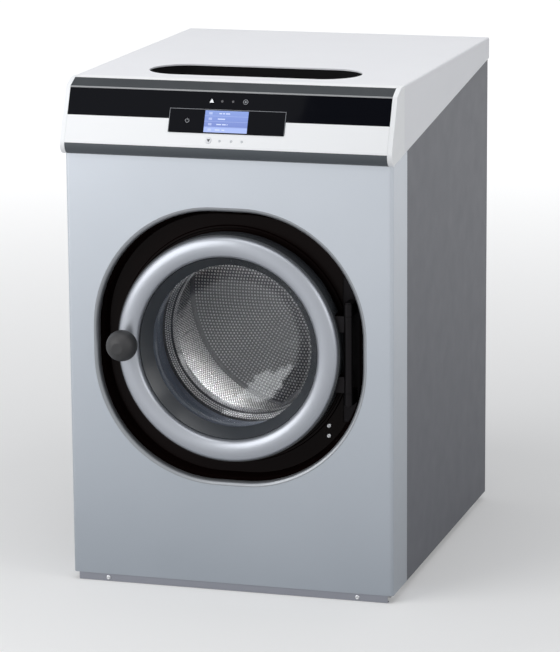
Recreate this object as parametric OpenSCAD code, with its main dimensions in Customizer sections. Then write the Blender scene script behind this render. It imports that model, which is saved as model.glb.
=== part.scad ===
// Front-loading washer-extractor, hard-mounted, in millimetres.
// X runs to the viewer's right, Y to the back and Z up. The origin is on the floor,
// below the middle of the machine.

/* [Cabinet] */
// Width over the side panels
body_w = 710; // [690:1:760]
// Depth of the cabinet, from front panel to rear panel
body_d = 856; // [840:1:920]
// Height over the hood
total_h = 1084; // [1070:1:1130]
// Thickness of the sheet panels
sheet_t = 1.5; // [1:0.1:2]
// Height of the gap under the front panel
plinth_h = 17; // [12:1:24]
// Outside radius of the front panel's upright corners
corner_r = 8; // [5:0.5:14]
// Depth of the front panel's folded sides
wing_d = 117; // [90:1:150]
// Width of the frame's square tubes
tube_w = 40; // [30:1:45]
// Wall of the frame's square tubes
tube_t = 3; // [2:0.5:4]
// Bore of a floor anchor's hole
anchor_d = 14; // [11:0.5:16]

/* [Hood and controls] */
// How much wider the hood is than the cabinet, on each side
hood_over = 3; // [2:0.5:5]
// Reach of the control fascia's nose in front of the cabinet
nose_out = 22; // [18:1:30]
// Height of the hood's side at its rear end
hood_rear_h = 47; // [35:1:60]
// Height of the control fascia, from hood top to the underside of its nose
fascia_h = 154; // [145:1:175]
// Lean of the control face from upright, in degrees
face_lean = 22.5; // [18:0.5:26]
// Length of the soap slot in the hood
slot_l = 464; // [300:1:500]
// Breadth of the soap slot
slot_b = 156; // [90:1:170]
// Depth of the soap hopper
hopper_h = 112; // [80:1:130]
// Width of the display window
screen_w = 94; // [70:1:100]
// Width of the display bezel
bezel_w = 251; // [200:1:280]
// Height of the display bezel, along the control face
bezel_h = 51; // [44:1:60]
// Diameter of a control key
key_d = 12; // [9:0.5:14]
// Travel of a control key
key_travel = 0.8; // [0.4:0.1:1.2]

/* [Door] */
// Height of the door's centre above the floor
door_z = 530; // [515:1:545]
// Width of the door recess in the front panel
port_w = 578; // [560:1:590]
// Radius of the door recess's corners
port_r = 259; // [200:1:268]
// Depth of the front panel's lip round the recess
lip_d = 16; // [12:1:24]
// Outside radius of the door ring
ring_ro = 240; // [236:0.5:246]
// Width of the door ring's face
ring_w = 44; // [40:1:50]
// Wall of the door ring
ring_t = 4; // [3:0.5:6]
// Inside radius of the dark bezel where it holds the glass
bezel_ri = 176; // [168:1:180]
// Wall of the glass bowl
glass_t = 5; // [4:0.5:8]
// Depth of the glass bowl behind its rim
bowl_d = 92; // [60:1:100]
// Diameter of the door knob
knob_d = 66; // [50:1:72]
// Diameter of the hinge pin
pin_d = 10; // [8:0.5:12]
// Running clearance of the pin and spindle in their holes
run_c = 0.05; // [0.02:0.01:0.1]

/* [Drum and drive] */
// Outside radius of the drum
drum_r = 265; // [255:1:268]
// Depth of the drum's cage behind its front shoulder
drum_d = 385; // [330:1:395]
// Inside radius of the drum's mouth
mouth_r = 178; // [168:1:184]
// Thickness of the drum's sheet
drum_t = 1.5; // [1:0.1:2.5]
// Number of lifters in the drum
lifters = 3; // [2:1:4]
// Height of a lifter
lifter_h = 48; // [30:1:55]
// Inside radius of the tub
tub_ri = 288; // [284:1:294]
// Thickness of the tub's wall
tub_t = 2; // [1.5:0.1:3]
// Diameter of the drum shaft in its bearings
shaft_d = 45; // [35:1:55]
// Outside radius of the drum pulley
pulley_r = 180; // [150:1:200]
// Outside radius of the motor pulley
motor_pulley_r = 30; // [24:0.5:38]
// Width of the belt
belt_w = 18; // [12:1:24]
// Radius of the motor's body
motor_r = 75; // [60:1:82]
// Outside diameter of the drain outlet
drain_d = 75; // [50:1:80]
// Outside diameter of a water inlet's thread
inlet_d = 26.4; // [20:0.1:30]
// Reach of the water and drain fittings behind the rear panel
rear_out = 22; // [18:1:30]

/* [Hidden] */
$fn = 96;

// Faces that touch on one body keep this much air, and a free fit twice as much
seat_c = 0.3;
free_c = 2 * seat_c;
eps = 1;

front_y = -body_d / 2;
rear_y = body_d / 2;
side_x = body_w / 2;
hood_x = side_x + hood_over;

// Control face: a plane that leans back, above a rounded nose
nose_r = 22;
nose_c = [front_y - nose_out + nose_r, total_h - fascia_h + nose_r];
face_n = [-cos(face_lean), sin(face_lean)];
face_low = nose_c + nose_r * face_n;
shoulder_z = total_h - 15;
function face_y(z) = face_low[0] + (z - face_low[1]) * tan(face_lean);
shoulder_y = face_y(shoulder_z);
fascia_t = 3;
fascia_rear_y = front_y + 83;
brow = [shoulder_y + 28, total_h - 1.5];
skirt_low = [front_y - nose_out + 12, total_h - fascia_h + 1.5];
skirt_slope = (total_h - hood_rear_h - skirt_low[1]) / (rear_y - skirt_low[0]);
function skirt_z(y) = skirt_low[1] + (y - skirt_low[0]) * skirt_slope;
cap_w = 10;

// Places on the control face, as x and height
strip_top_z = shoulder_z - 3;
strip_low_z = total_h - 72;
strip_t = 1.5;
bezel_c = [1.8, total_h - 75.5];
screen_c = [0.2, bezel_c[1]];
board_back = 12;
key_top_z = total_h - 35.5;
key_low_z = total_h - 113;
key_up_c = [-35, key_top_z];
key_stop_c = [38, key_top_z];
key_start_c = [-84, bezel_c[1]];
key_down_c = [-33.6, key_low_z];
key_c = 0.4;
light_d = 5;
light_places = [
    [-12.7, key_top_z], [10.8, key_top_z], [-10, key_low_z], [15, key_low_z], [38, key_low_z]
];

boss_x = 110;
boss_z = 38;
board_w = 250;
board_h = 104;
board_t = 1.6;
screen_in = 2.2;
key_back = board_back - key_travel - 0.4;
cap_t = 2.5;
hood_edge = 4;

// Soap slot and hopper
slot_lip = 3;
spout_l = 20;
hose_z = total_h - 74;
hose_d = 16;
slot_y = front_y + 210;
hopper_wall = 2;
hopper_rim = 12;
hopper_parts = 3;
hose_x = -80;
hose_y = slot_y + 20;
hose_ri = 18;
hose_wall = 3;

// Door stack, from the front backwards
ring_mid = ring_ro - ring_w / 2;
ring_ri = ring_ro - ring_w;
ring_bulge = 15;
ring_y = front_y - 9;
ring_back_y = ring_y + 8;
bezel_y = front_y + 23;
glass_y = bezel_y + 3;
glass_flange = 16;
clamp_y = glass_y + glass_t + 1;
clamp_t = 4;
dish_y = front_y + 44;
dish_t = 2.5;
throat_r = bezel_ri + 29;
skirt_t = 2.5;
skirt_ro = ring_ro + seat_c + skirt_t;
skirt_back_y = dish_y - 10;
bead_r = 251;
knob_y = ring_y - ring_bulge - 29;
knob_flat = 70;
knob_x = -ring_mid;
knob_z = door_z + 5;
knob_back_y = ring_y - ring_bulge - seat_c;
spindle_d = 12;
lock_depth = 36;
latch_w = 10;
latch_h = 26;
latch_z = door_z - 45;
latch_x = -ring_mid - 3;
bezel_plate_t = 3;
strap_t = 5;
cam_l = 14;
gasket_t = 5.5;
hinge_x = ring_ro + 18;
hinge_y = front_y + 6;
hinge_h = 190;
lug_h = 26;
lug_r = pin_d / 2 + 4;
hinge_plate_t = 5;
strap_h = 34;
pocket_x = [hinge_x - 22, hinge_x + 14];
pocket_h = 310;

// Drum, tub and drive, from the front backwards
drum_y = front_y + 173;
drum_back_y = drum_y + drum_d;
mouth_y = front_y + 146;
tub_y = front_y + 128;
tub_back_y = drum_back_y + 42;
tub_ro = tub_ri + tub_t;
neck_ri = mouth_r + 18;
shaft_front_y = drum_back_y + 8;
housing_y = tub_back_y + 5;
housing_l = 112;
housing_r = 62;
pulley_y = housing_y + housing_l + 12;
pulley_t = belt_w + 6;
belt_t = 5;
motor_x = 190;
motor_z = 152;
motor_l = 190;
motor_y = pulley_y - 22 - motor_l;

// Sheet details and screws
lip_roll = 9;
screw_d = 5;
screw_l = 6;
plinth_screw_x = side_x - 78;
surround_screw_x = ring_mid - 13;
surround_screw_z = [door_z - 164, door_z - 186];
vents = 8;
cover_dish = 14;
cover_rim = 30;
cover_corner = 12;
swell_corner = 20;

// Bearings, sump and drive details
tub_wall_t = 4;
hub_r = shaft_d / 2 + 14;
bearing_r = shaft_d / 2 + 22.5;
bearing_w = 22;
flange_r = 150;
flange_t = 10;
flange_cone_w = 38;
flange_cone_l = 60;
spider_hub_l = 30;
nozzle_r = 34;
nozzle_l = 14;
heater_d = 8;
heater_angles = [-14, 0, 14];
motor_shaft_d = 24;
motor_foot_z = motor_z - motor_r - 4;
drive_x = -20;
drive_w = 150;
drive_h = 180;
drive_d = 42;
drive_fin = 16;

// Frame
frame_x = side_x - sheet_t - seat_c - tube_w / 2;
frame_y = [
    dish_y + dish_t + hinge_plate_t + free_c + tube_w / 2,
    rear_y - sheet_t - seat_c - tube_w / 2
];
rail_z = plinth_h + tube_w / 2;
post_top_z = total_h - 114;
head_z = post_top_z - 64;
saddle_y = [front_y + 198, front_y + 478];
saddle_t = 6;
saddle_foot = 34;
saddle_drop = 40;
saddle_holes = [[235, 170, 45], [110, 132, 38]];
motor_rail_y = front_y + 610;
anchor_x = frame_x - tube_w / 2 - 38;
anchor_y = 340;
panel_top_z = total_h - sheet_t - seat_c;
front_top_z = total_h - 112;
panel_flange = 20;
inlet_z = total_h - 190;
cover_w = 460;
cover_h = 460;
cover_z = inlet_z - 104 - cover_h;
cover_screw_x = cover_w / 2 - 12;
cover_screw_z = [cover_z + 20, cover_z + cover_h / 2, cover_z + cover_h - 20];
vent_z = cover_z - 120;
drain_x = -100;
drain_y = drum_back_y - 10;
drain_z = 110;
inlet_x = [-150, -95];
riser_in = 56;
gland_x = 210;
gland_z = inlet_z;
gland_hole_d = 20;

// Gives a line of points a thickness to its left, with mitred corners
function unit(v) = v / norm(v);
function leftward(v) = [-v[1], v[0]];
function run_n(p, i) = leftward(unit(p[i + 1] - p[i]));
function mitre(p, i, t) =
    let (a = run_n(p, max(i - 1, 0)), b = run_n(p, min(i, len(p) - 2)), m = unit(a + b))
    p[i] + m * t / (m * a);
function thick(p, t) = concat(p, [for (i = [len(p) - 1:-1:0]) mitre(p, i, t)]);
function arc(c, r, a0, a1, n) =
    [for (k = [0:n]) let (a = a0 + (a1 - a0) * k / n) c + r * [cos(a), sin(a)]];

// A rounded rectangle made of true arcs, centred
module rounded_rect(w, h, r) {
    square([w - 2 * r, h], center = true);
    square([w, h - 2 * r], center = true);
    for (sx = [-1, 1], sy = [-1, 1])
        translate([sx * (w / 2 - r), sy * (h / 2 - r)]) circle(r = r);
}

// A bar with a profile in Y and Z, from x0 to x1
module bar_x(x0, x1) {
    translate([x0, 0, 0]) rotate([90, 0, 90]) linear_extrude(x1 - x0) children();
}

// A plate with an outline in X and Z, its front face at y0
module plate_y(y0, t) {
    translate([0, y0 + t, 0]) rotate([90, 0, 0]) linear_extrude(t) children();
}

// A round body about the door's axis: its profile is radius and depth Y
module turned(z = door_z) {
    translate([0, 0, z]) rotate([-90, 0, 0]) rotate_extrude($fn = 180) children();
}

// A straight pin along Y
module pin_y(x, z, y0, y1, d) {
    translate([x, y0, z]) rotate([-90, 0, 0]) cylinder(d = d, h = y1 - y0);
}

// Puts things on the control face, with their +Z out of the face
module on_face(x, z) {
    translate([x, face_y(z), z]) rotate([90 - face_lean, 0, 0]) children();
}

// A square tube from the centre of one end, along one axis
module tube(len, axis) {
    turn = axis == "x" ? [0, 90, 0] : axis == "y" ? [-90, 0, 0] : [0, 0, 0];
    rotate(turn) linear_extrude(len) difference() {
        square(tube_w, center = true);
        square(tube_w - 2 * tube_t, center = true);
    }
}

// Sweeps a profile round a rounded square: its X is outwards from the side, its Y is depth
module round_square_sweep(half, r) {
    c = half - r;
    for (k = [0:3]) rotate([0, 90 * k, 0]) {
        translate([c, 0, -c]) rotate([-90, 0, 0])
            rotate_extrude(angle = 90, $fn = 120) translate([r, 0]) children();
        translate([half, 0, -c]) linear_extrude(2 * c) children();
    }
}

// Frame, feet and panels

module base_frame() {
    color("slategray") {
        for (sx = [-1, 1]) {
            for (z = [rail_z, post_top_z - tube_w / 2])
                translate([sx * frame_x, frame_y[0] + tube_w / 2, z])
                    tube(frame_y[1] - frame_y[0] - tube_w, "y");
            for (y = frame_y)
                translate([sx * frame_x, y, plinth_h]) tube(post_top_z - plinth_h, "z");
        }
        inner = frame_x - tube_w / 2;
        for (y = [frame_y[0], saddle_y[0], saddle_y[1], motor_rail_y, frame_y[1]])
            translate([-inner, y, rail_z]) tube(2 * inner, "x");
        translate([-inner, frame_y[0], head_z]) tube(2 * inner, "x");
        translate([-inner, frame_y[1], post_top_z - tube_w / 2]) tube(2 * inner, "x");
    }
}

// Four steel shoes under the frame's corners, each with a hole for a floor anchor
module anchor_feet() {
    shoe_t = 8;
    shoe_l = 90;
    color("dimgray") for (sx = [-1, 1], sy = [-1, 1])
        difference() {
            union() {
                x_out = frame_x + tube_w / 2 - 14;
                x_in = anchor_x - 26;
                translate([sx > 0 ? x_in : -x_out, sy * anchor_y - shoe_l / 2, 0])
                    cube([x_out - x_in, shoe_l, shoe_t]);
                translate([sx * frame_x, sy * anchor_y, shoe_t - eps])
                    cylinder(d = tube_w - 12, h = plinth_h - shoe_t + eps);
            }
            translate([sx * anchor_x, sy * anchor_y, -eps]) cylinder(d = anchor_d, h = shoe_t + 2 * eps);
        }
}

// A folded strip that closes the gap under the front panel
module plinth() {
    half = side_x - 12;
    face_y0 = front_y + sheet_t;
    back_y = frame_y[0] - tube_w / 2 + 12;
    color("gainsboro") difference() {
        bar_x(-half, half) polygon([
            [face_y0, 1], [face_y0, plinth_h - seat_c], [back_y, plinth_h - seat_c],
            [back_y, plinth_h - seat_c - sheet_t], [face_y0 + sheet_t, plinth_h - seat_c - sheet_t],
            [face_y0 + sheet_t, 1 + sheet_t], [face_y0 + 12, 1 + sheet_t], [face_y0 + 12, 1]
        ]);
        for (sx = [-1, 1])
            pin_y(sx * plinth_screw_x, plinth_h / 2, face_y0 - eps, face_y0 + 3, screw_d + free_c);
    }
}

// Front sheet with folded sides and the hole for the door recess
module front_panel() {
    half = port_w / 2 + lip_roll + seat_c;
    color("lightsteelblue") difference() {
        translate([0, 0, plinth_h]) linear_extrude(front_top_z - plinth_h) front_profile();
        translate([0, front_y - eps, door_z]) rotate([-90, 0, 0])
            linear_extrude(lip_d) rounded_rect(2 * half, 2 * half, port_r + lip_roll + seat_c);
    }
}

// Bright trim that rolls in from the panel's face and runs back into the recess
module recess_trim() {
    path = concat(
        arc([0, front_y + lip_roll], lip_roll, -90, -180, 6), [[-lip_roll, front_y + lip_d]]
    );
    color("silver") translate([0, 0, door_z])
        round_square_sweep(port_w / 2 + lip_roll, port_r + lip_roll) polygon(thick(path, -sheet_t));
}

// Plan of the front panel: a channel with round corners
module front_profile() {
    difference() {
        panel_plan(0);
        panel_plan(sheet_t);
        translate([-side_x, front_y + wing_d]) square([body_w, body_d]);
    }
}

module panel_plan(inset) {
    r = corner_r - inset;
    w = body_w - 2 * inset;
    d = wing_d + 2 * corner_r;
    translate([0, front_y + inset + d / 2]) rounded_rect(w, d, r);
}

// One side panel, folded in at the top and the rear; the other is its mirror image
module side_sheet() {
    y0 = front_y + wing_d + seat_c;
    h = panel_top_z - plinth_h;
    translate([0, 0, plinth_h]) {
        linear_extrude(h) {
            translate([side_x - sheet_t, y0]) square([sheet_t, rear_y - y0]);
            translate([side_x - panel_flange, rear_y - sheet_t]) square([panel_flange, sheet_t]);
        }
        translate([side_x - panel_flange, y0, h - sheet_t]) cube([panel_flange, rear_y - y0, sheet_t]);
    }
}

module left_side_panel() {
    color("gray") mirror([1, 0, 0]) side_sheet();
}

module right_side_panel() {
    color("gray") side_sheet();
}

// Rear sheet with its service opening and the holes for water, drain and mains
module rear_panel() {
    half = side_x - panel_flange - seat_c;
    color("darkgray") difference() {
        translate([-half, rear_y - sheet_t, plinth_h]) cube([2 * half, sheet_t, panel_top_z - plinth_h]);
        plate_y(rear_y - sheet_t - eps, sheet_t + 2 * eps)
            translate([0, cover_z + cover_h / 2]) square([cover_w - 50, cover_h - 70], center = true);
        pin_y(drain_x, drain_z, rear_y - sheet_t - eps, rear_y + eps, drain_d - 6 + free_c);
        pin_y(gland_x, gland_z, rear_y - sheet_t - eps, rear_y + eps, gland_hole_d + 12 + 2 * seat_c);
        for (x = inlet_x)
            pin_y(x, inlet_z, rear_y - sheet_t - eps, rear_y + eps, inlet_d - 4 + free_c);
        for (sx = [-1, 1], z = cover_screw_z)
            pin_y(sx * cover_screw_x, z, rear_y - sheet_t - eps, rear_y + eps, screw_d + free_c);
        for (k = [0:vents - 1]) translate([gland_x - 30, rear_y - sheet_t - eps, vent_z + 14 * k])
            cube([90, sheet_t + 2 * eps, 5]);
    }
}

// Pressed cover over the belt drive
module rear_cover() {
    color("silver") difference() {
        translate([0, 0, cover_z + cover_h / 2]) union() {
            plate_y(rear_y + seat_c, sheet_t) rounded_rect(cover_w, cover_h, cover_corner);
            plate_y(rear_y + seat_c, cover_dish)
                rounded_rect(cover_w - 2 * cover_rim, cover_h - 2 * cover_rim, swell_corner);
        }
        translate([0, 0, cover_z + cover_h / 2])
            plate_y(rear_y + seat_c - eps, cover_dish - sheet_t + eps)
                rounded_rect(
                    cover_w - 2 * (cover_rim + sheet_t), cover_h - 2 * (cover_rim + sheet_t),
                    swell_corner - sheet_t
                );
        for (sx = [-1, 1], k = [0:2])
            pin_y(sx * cover_screw_x, cover_screw_z[k], rear_y, rear_y + 4, screw_d + free_c);
    }
}

// All the visible panel screws: plinth, hinge side of the recess and rear cover
module panel_screws() {
    color("silver") {
        for (sx = [-1, 1]) screw(sx * plinth_screw_x, plinth_h / 2, front_y + sheet_t, 1);
        for (z = surround_screw_z) screw(surround_screw_x, z, dish_y, 1);
        for (sx = [-1, 1], k = [0:2])
            screw(sx * cover_screw_x, cover_screw_z[k], rear_y + seat_c + sheet_t, -1);
    }
}

// A pan-head screw, its head on a face at y; side is 1 for a face that looks forward
module screw(x, z, y, side) {
    head = [[0, 0], [screw_d, 0], [screw_d, 0.8], [screw_d * 0.7, 2.2], [0, 2.4]];
    translate([x, y - side * 0.1, z]) rotate([side * 90, 0, 0]) {
        rotate_extrude() polygon(head);
        translate([0, 0, -screw_l]) cylinder(d = screw_d, h = screw_l + eps);
    }
}

// Hood and controls

// Side view of the control fascia's outer face, from the top of the hood to under the nose
face_path = concat(
    [[fascia_rear_y, total_h], [brow[0] + 12, total_h], brow, [shoulder_y, shoulder_z]],
    [for (k = [0:9]) let (a = face_lean - (face_lean + 88) * k / 9)
        nose_c + nose_r * [-cos(a), sin(a)]]
);

module top_cover() {
    y0 = fascia_rear_y + seat_c;
    y1 = rear_y + seat_c + sheet_t;
    color("whitesmoke") {
        difference() {
            intersection() {
                translate([0, y1, total_h - hood_rear_h * 2]) rotate([90, 0, 0]) linear_extrude(y1 - y0)
                    difference() {
                        rounded_rect(2 * hood_x, 4 * hood_rear_h, hood_edge);
                        rounded_rect(2 * (hood_x - sheet_t), 4 * hood_rear_h - 2 * sheet_t,
                            hood_edge - sheet_t);
                    }
                bar_x(-hood_x - eps, hood_x + eps) polygon([
                    [y0, skirt_z(y0)], [y1, skirt_z(y1)], [y1, total_h + eps], [y0, total_h + eps]
                ]);
            }
            translate([0, slot_y, total_h - sheet_t - eps]) linear_extrude(sheet_t + 2 * eps)
                slot_outline(sheet_t);
        }
        translate([0, slot_y, total_h - slot_lip]) linear_extrude(slot_lip) difference() {
            slot_outline(sheet_t);
            slot_outline(0);
        }
        translate([0, y1, total_h - hood_rear_h]) rotate([90, 0, 0]) linear_extrude(sheet_t)
            translate([0, hood_rear_h / 2 - sheet_t])
                square([2 * (hood_x - sheet_t), hood_rear_h - sheet_t], center = true);
    }
}

module slot_outline(grow) {
    rounded_rect(slot_l + 2 * grow, slot_b + 2 * grow, slot_b / 2 + grow - 0.01);
}

// A slab on the control face between two heights, from in to out along the face's normal
module face_slab(x0, x1, z0, z1, in, out) {
    bar_x(x0, x1) polygon([
        [face_y(z0), z0] + in * face_n, [face_y(z0), z0] + out * face_n,
        [face_y(z1), z1] + out * face_n, [face_y(z1), z1] + in * face_n
    ]);
}

module key_holes(top, low) {
    for (c = [key_up_c, key_stop_c]) if (top) on_face(c[0], c[1]) key_hole();
    for (c = [key_down_c]) if (low) on_face(c[0], c[1]) key_hole();
    for (c = light_places) if (c[1] > bezel_c[1] ? top : low)
        on_face(c[0], c[1]) translate([0, 0, -board_back]) cylinder(d = light_d + free_c, h = 2 * board_back);
}

module key_hole() {
    translate([0, 0, -board_back]) cylinder(d = key_d + 2 * key_c, h = 2 * board_back);
}

module bezel_block(grow, low, high) {
    on_face(bezel_c[0], bezel_c[1]) translate([0, 0, low])
        linear_extrude(high - low) rounded_rect(bezel_w + 2 * grow, bezel_h + 2 * grow, 3 + grow);
}

// White moulded nose that carries the controls
module control_fascia() {
    half = hood_x - cap_w - seat_c;
    color("white") {
        difference() {
            bar_x(-half, half) polygon(thick(face_path, fascia_t));
            face_slab(-half - eps, half + eps, strip_low_z - seat_c, strip_top_z + seat_c,
                -strip_t - seat_c, 5);
            bezel_block(seat_c, -12, 12);
            key_holes(true, true);
        }
        for (sx = [-1, 1], z = [bezel_c[1] - boss_z, bezel_c[1] + boss_z])
            on_face(sx * boss_x, z) translate([0, 0, -board_back + seat_c])
                cylinder(d = 9, h = board_back - seat_c - fascia_t + 0.8);
    }
}

// Gloss black band across the upper half of the control face
module fascia_strip() {
    half = hood_x - cap_w - seat_c;
    color("black") difference() {
        face_slab(-half, half, strip_low_z, strip_top_z, -strip_t, 0);
        bezel_block(seat_c, -12, 12);
        key_holes(true, false);
    }
}

// End cap: the fascia's outline with a slanted lower edge, open on its inner side
module end_cap() {
    path = concat(face_path, [[skirt_low[0] + 14, skirt_z(skirt_low[0] + 14)],
        [fascia_rear_y, skirt_z(fascia_rear_y)]]);
    color("white") difference() {
        bar_x(hood_x - cap_w, hood_x) polygon(path);
        bar_x(hood_x - cap_w - eps, hood_x - cap_t) polygon(cap_inner(path));
        translate([hood_x - cap_w - eps, front_y - seat_c, skirt_low[1] - eps])
            cube([cap_w + eps - hood_over + seat_c, wing_d, front_top_z + seat_c - skirt_low[1] + eps]);
    }
}

function cap_inner(path) =
    let (n = len(path))
    [for (i = [0:n - 1])
        let (a = run_n(concat(path, [path[0]]), (i + n - 1) % n), b = run_n(concat(path, [path[0]]), i),
            m = unit(a + b))
        path[i] + m * cap_t / (m * a)];

module right_end_cap() {
    end_cap();
}

module left_end_cap() {
    mirror([1, 0, 0]) end_cap();
}

module display_bezel() {
    color("black") difference() {
        bezel_block(0, -3, 1);
        on_face(screen_c[0], screen_c[1]) translate([0, 0, -12])
            linear_extrude(24) square([screen_w + free_c, bezel_h - 4 + free_c], center = true);
        on_face(key_start_c[0], key_start_c[1]) key_hole();
    }
}

module display_screen() {
    color("royalblue") on_face(screen_c[0], screen_c[1]) translate([0, 0, -screen_in])
        linear_extrude(screen_in + 0.8) square([screen_w, bezel_h - 4], center = true);
}

// Circuit board behind the control face, with its display module and chips
module control_board() {
    chip_h = 6.5;
    screen_h = board_back + board_t / 2 - screen_in - seat_c;
    color("darkgreen") on_face(bezel_c[0], bezel_c[1]) translate([0, 0, -board_back - board_t]) {
        linear_extrude(board_t) rounded_rect(board_w, board_h, 3);
        translate([screen_c[0] - bezel_c[0], 0, board_t / 2])
            linear_extrude(screen_h) square([screen_w, bezel_h - 8], center = true);
        for (x = [-90, 85]) translate([x, -6, board_t / 2 - chip_h])
            linear_extrude(chip_h) square([26, 34], center = true);
    }
}

// A key: a round cap with a collar behind the face that keeps it in
module key_cap(c) {
    on_face(c[0], c[1]) {
        translate([0, 0, -key_back]) cylinder(d = key_d, h = key_back + key_travel - 0.4);
        translate([0, 0, key_travel - 0.41]) cylinder(d1 = key_d, d2 = key_d - 1, h = 0.5);
        translate([0, 0, -key_back]) cylinder(d = key_d + 3, h = key_back - fascia_t - seat_c);
    }
}

module key_up() {
    color("dimgray") key_cap(key_up_c);
}

module key_stop() {
    color("dimgray") key_cap(key_stop_c);
}

module key_start() {
    color("dimgray") key_cap(key_start_c);
}

module key_down() {
    color("dimgray") key_cap(key_down_c);
}

// Five small light lenses beside the keys
module status_lights() {
    color("gray") for (c = light_places) on_face(c[0], c[1]) translate([0, 0, -fascia_t - 2])
        cylinder(d = light_d, h = fascia_t + 2.3);
}

// Soap hopper below the slot, with its compartments and an outlet to the tub
module soap_hopper() {
    z1 = total_h - sheet_t - seat_c;
    z0 = z1 - hopper_h;
    grow = sheet_t + free_c;
    color("darkslategray") difference() {
        union() {
            translate([0, slot_y, z0]) linear_extrude(hopper_h) slot_outline(grow + hopper_wall);
            translate([0, slot_y, z1 - 3]) linear_extrude(3) slot_outline(grow + hopper_rim);
            translate([hose_x, hose_y, z0 - spout_l]) cylinder(r = hose_ri - seat_c, h = spout_l + eps);
        }
        difference() {
            translate([0, slot_y, z0 + hopper_wall]) linear_extrude(hopper_h) slot_outline(grow);
            for (k = [1:hopper_parts - 1])
                translate([slot_l * (k / hopper_parts - 0.5) - hopper_wall / 2, slot_y - slot_b, z0])
                    cube([hopper_wall, 2 * slot_b, hopper_h - 30]);
        }
        for (k = [1:hopper_parts - 1])
            translate([slot_l * (k / hopper_parts - 0.5) - 5, hose_y - 12, z0 + hopper_wall])
                cube([10, 24, 12]);
        translate([hose_x, hose_y, z0 - spout_l - eps])
            cylinder(r = hose_ri - seat_c - hopper_wall, h = spout_l + hopper_wall + 2 * eps);
        for (x = inlet_x) pin_y(x, hose_z, slot_y, slot_y + slot_b, hose_d + free_c);
    }
}

// Ribbed hose from the hopper down to the tub
module hopper_hose() {
    z0 = door_z + tub_ro - 2;
    z1 = total_h - sheet_t - seat_c - hopper_h - seat_c;
    ribs = 8;
    cuff = 20;
    pitch = (z1 - z0 - 2 * cuff) / ribs;
    outer = concat([[hose_ri + hose_wall, 0]],
        [for (k = [0:ribs - 1], s = [0, 1])
            [hose_ri + hose_wall + 4 * s, cuff + (k + 0.25 + s * 0.5) * pitch]],
        [[hose_ri + hose_wall, z1 - z0]]);
    color("dimgray") translate([hose_x, hose_y, z0]) rotate_extrude()
        polygon(concat(outer, [for (k = [len(outer) - 1:-1:0])
            [k == 0 || k == len(outer) - 1 ? hose_ri : outer[k][0] - hose_wall, outer[k][1]]]));
}

// Door recess and door

// Dark dished panel between the front panel's lip and the tub's throat
module door_surround() {
    half = port_w / 2;
    y0 = front_y + lip_d + seat_c;
    wall = [[6, y0], [0, y0], [-1.5, y0 + 6], [-5, y0 + 11], [-12, dish_y], [-32, dish_y]];
    color([0.09, 0.07, 0.07]) difference() {
        union() {
            translate([0, 0, door_z]) {
                round_square_sweep(half, port_r) polygon(thick(wall, -dish_t));
                plate_y(dish_y, dish_t) difference() {
                    rounded_rect(2 * half - 60, 2 * half - 60, port_r - 30);
                    circle(r = throat_r);
                }
            }
            turned() polygon([
                [bead_r - 4, dish_y + 1], [bead_r - 2, dish_y - 3],
                [bead_r + 2, dish_y - 3], [bead_r + 5, dish_y + 1]
            ]);
        }
        translate([pocket_x[0], dish_y - 10, door_z - pocket_h / 2])
            cube([pocket_x[1] - pocket_x[0], 30, pocket_h]);
        translate([latch_x - latch_w, dish_y - 10, latch_z - latch_h]) cube([2 * latch_w, 30, 2 * latch_h]);
        for (z = surround_screw_z)
            pin_y(surround_screw_x, z, dish_y - eps, dish_y + dish_t + eps, screw_d + free_c);
    }
}

// Steel plate behind the recess with two lugs that hold the hinge pin
module hinge_plate() {
    y0 = dish_y + dish_t + seat_c;
    color("dimgray") difference() {
        union() {
            translate([0, 0, door_z]) plate_y(y0, hinge_plate_t)
                translate([hinge_x, 0]) rounded_rect(54, pocket_h + 20, 6);
            for (s = [-1, 1]) translate([0, 0, door_z + s * hinge_h / 2 - lug_h / 2]) linear_extrude(lug_h) {
                translate([hinge_x, hinge_y]) circle(r = lug_r);
                translate([hinge_x - lug_r, hinge_y]) square([2 * lug_r, y0 - hinge_y + 1]);
            }
        }
        translate([hinge_x, hinge_y, door_z - hinge_h]) cylinder(d = pin_d + 2 * run_c, h = 2 * hinge_h);
    }
}

module hinge_pin() {
    l = hinge_h + lug_h + 6;
    color("silver") translate([hinge_x, hinge_y, door_z - l / 2]) {
        cylinder(d = pin_d, h = l);
        translate([0, 0, l - 2.7]) cylinder(d = pin_d + 5, h = 2.7);
    }
}

// Long knuckle on the pin with two straps bolted behind the door ring
module hinge_arm() {
    h = hinge_h - lug_h - 2 * free_c;
    y0 = ring_back_y + bezel_plate_t + 2 * seat_c;
    color("silver") difference() {
        union() {
            translate([hinge_x, hinge_y, door_z - h / 2]) cylinder(r = lug_r, h = h);
            for (s = [-1, 1]) translate([0, 0, door_z + s * (h - strap_h) / 2 - strap_h / 2])
                linear_extrude(strap_h)
                    translate([ring_mid - 17, y0]) square([hinge_x - ring_mid + 17, strap_t]);
        }
        translate([hinge_x, hinge_y, door_z - hinge_h]) cylinder(d = pin_d + 2 * run_c, h = 2 * hinge_h);
    }
}

// Cast ring with a half-round face, hollow at the back
module door_ring() {
    skirt = [[ring_ro, ring_back_y], [ring_ro, ring_y]];
    face = [for (k = [0:36]) let (a = -5 * k) [ring_mid + ring_w / 2 * cos(a), ring_y + ring_bulge * sin(a)]];
    path = concat([skirt[0]], face, [[ring_ri, ring_back_y]]);
    color("gainsboro") difference() {
        union() {
            turned() polygon(thick(path, -ring_t));
            pin_y(knob_x, knob_z, ring_y - ring_bulge + 2, ring_back_y, spindle_d + 12);
        }
        pin_y(knob_x, knob_z, front_y - 60, ring_back_y + eps, spindle_d + 2 * run_c);
    }
}

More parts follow.
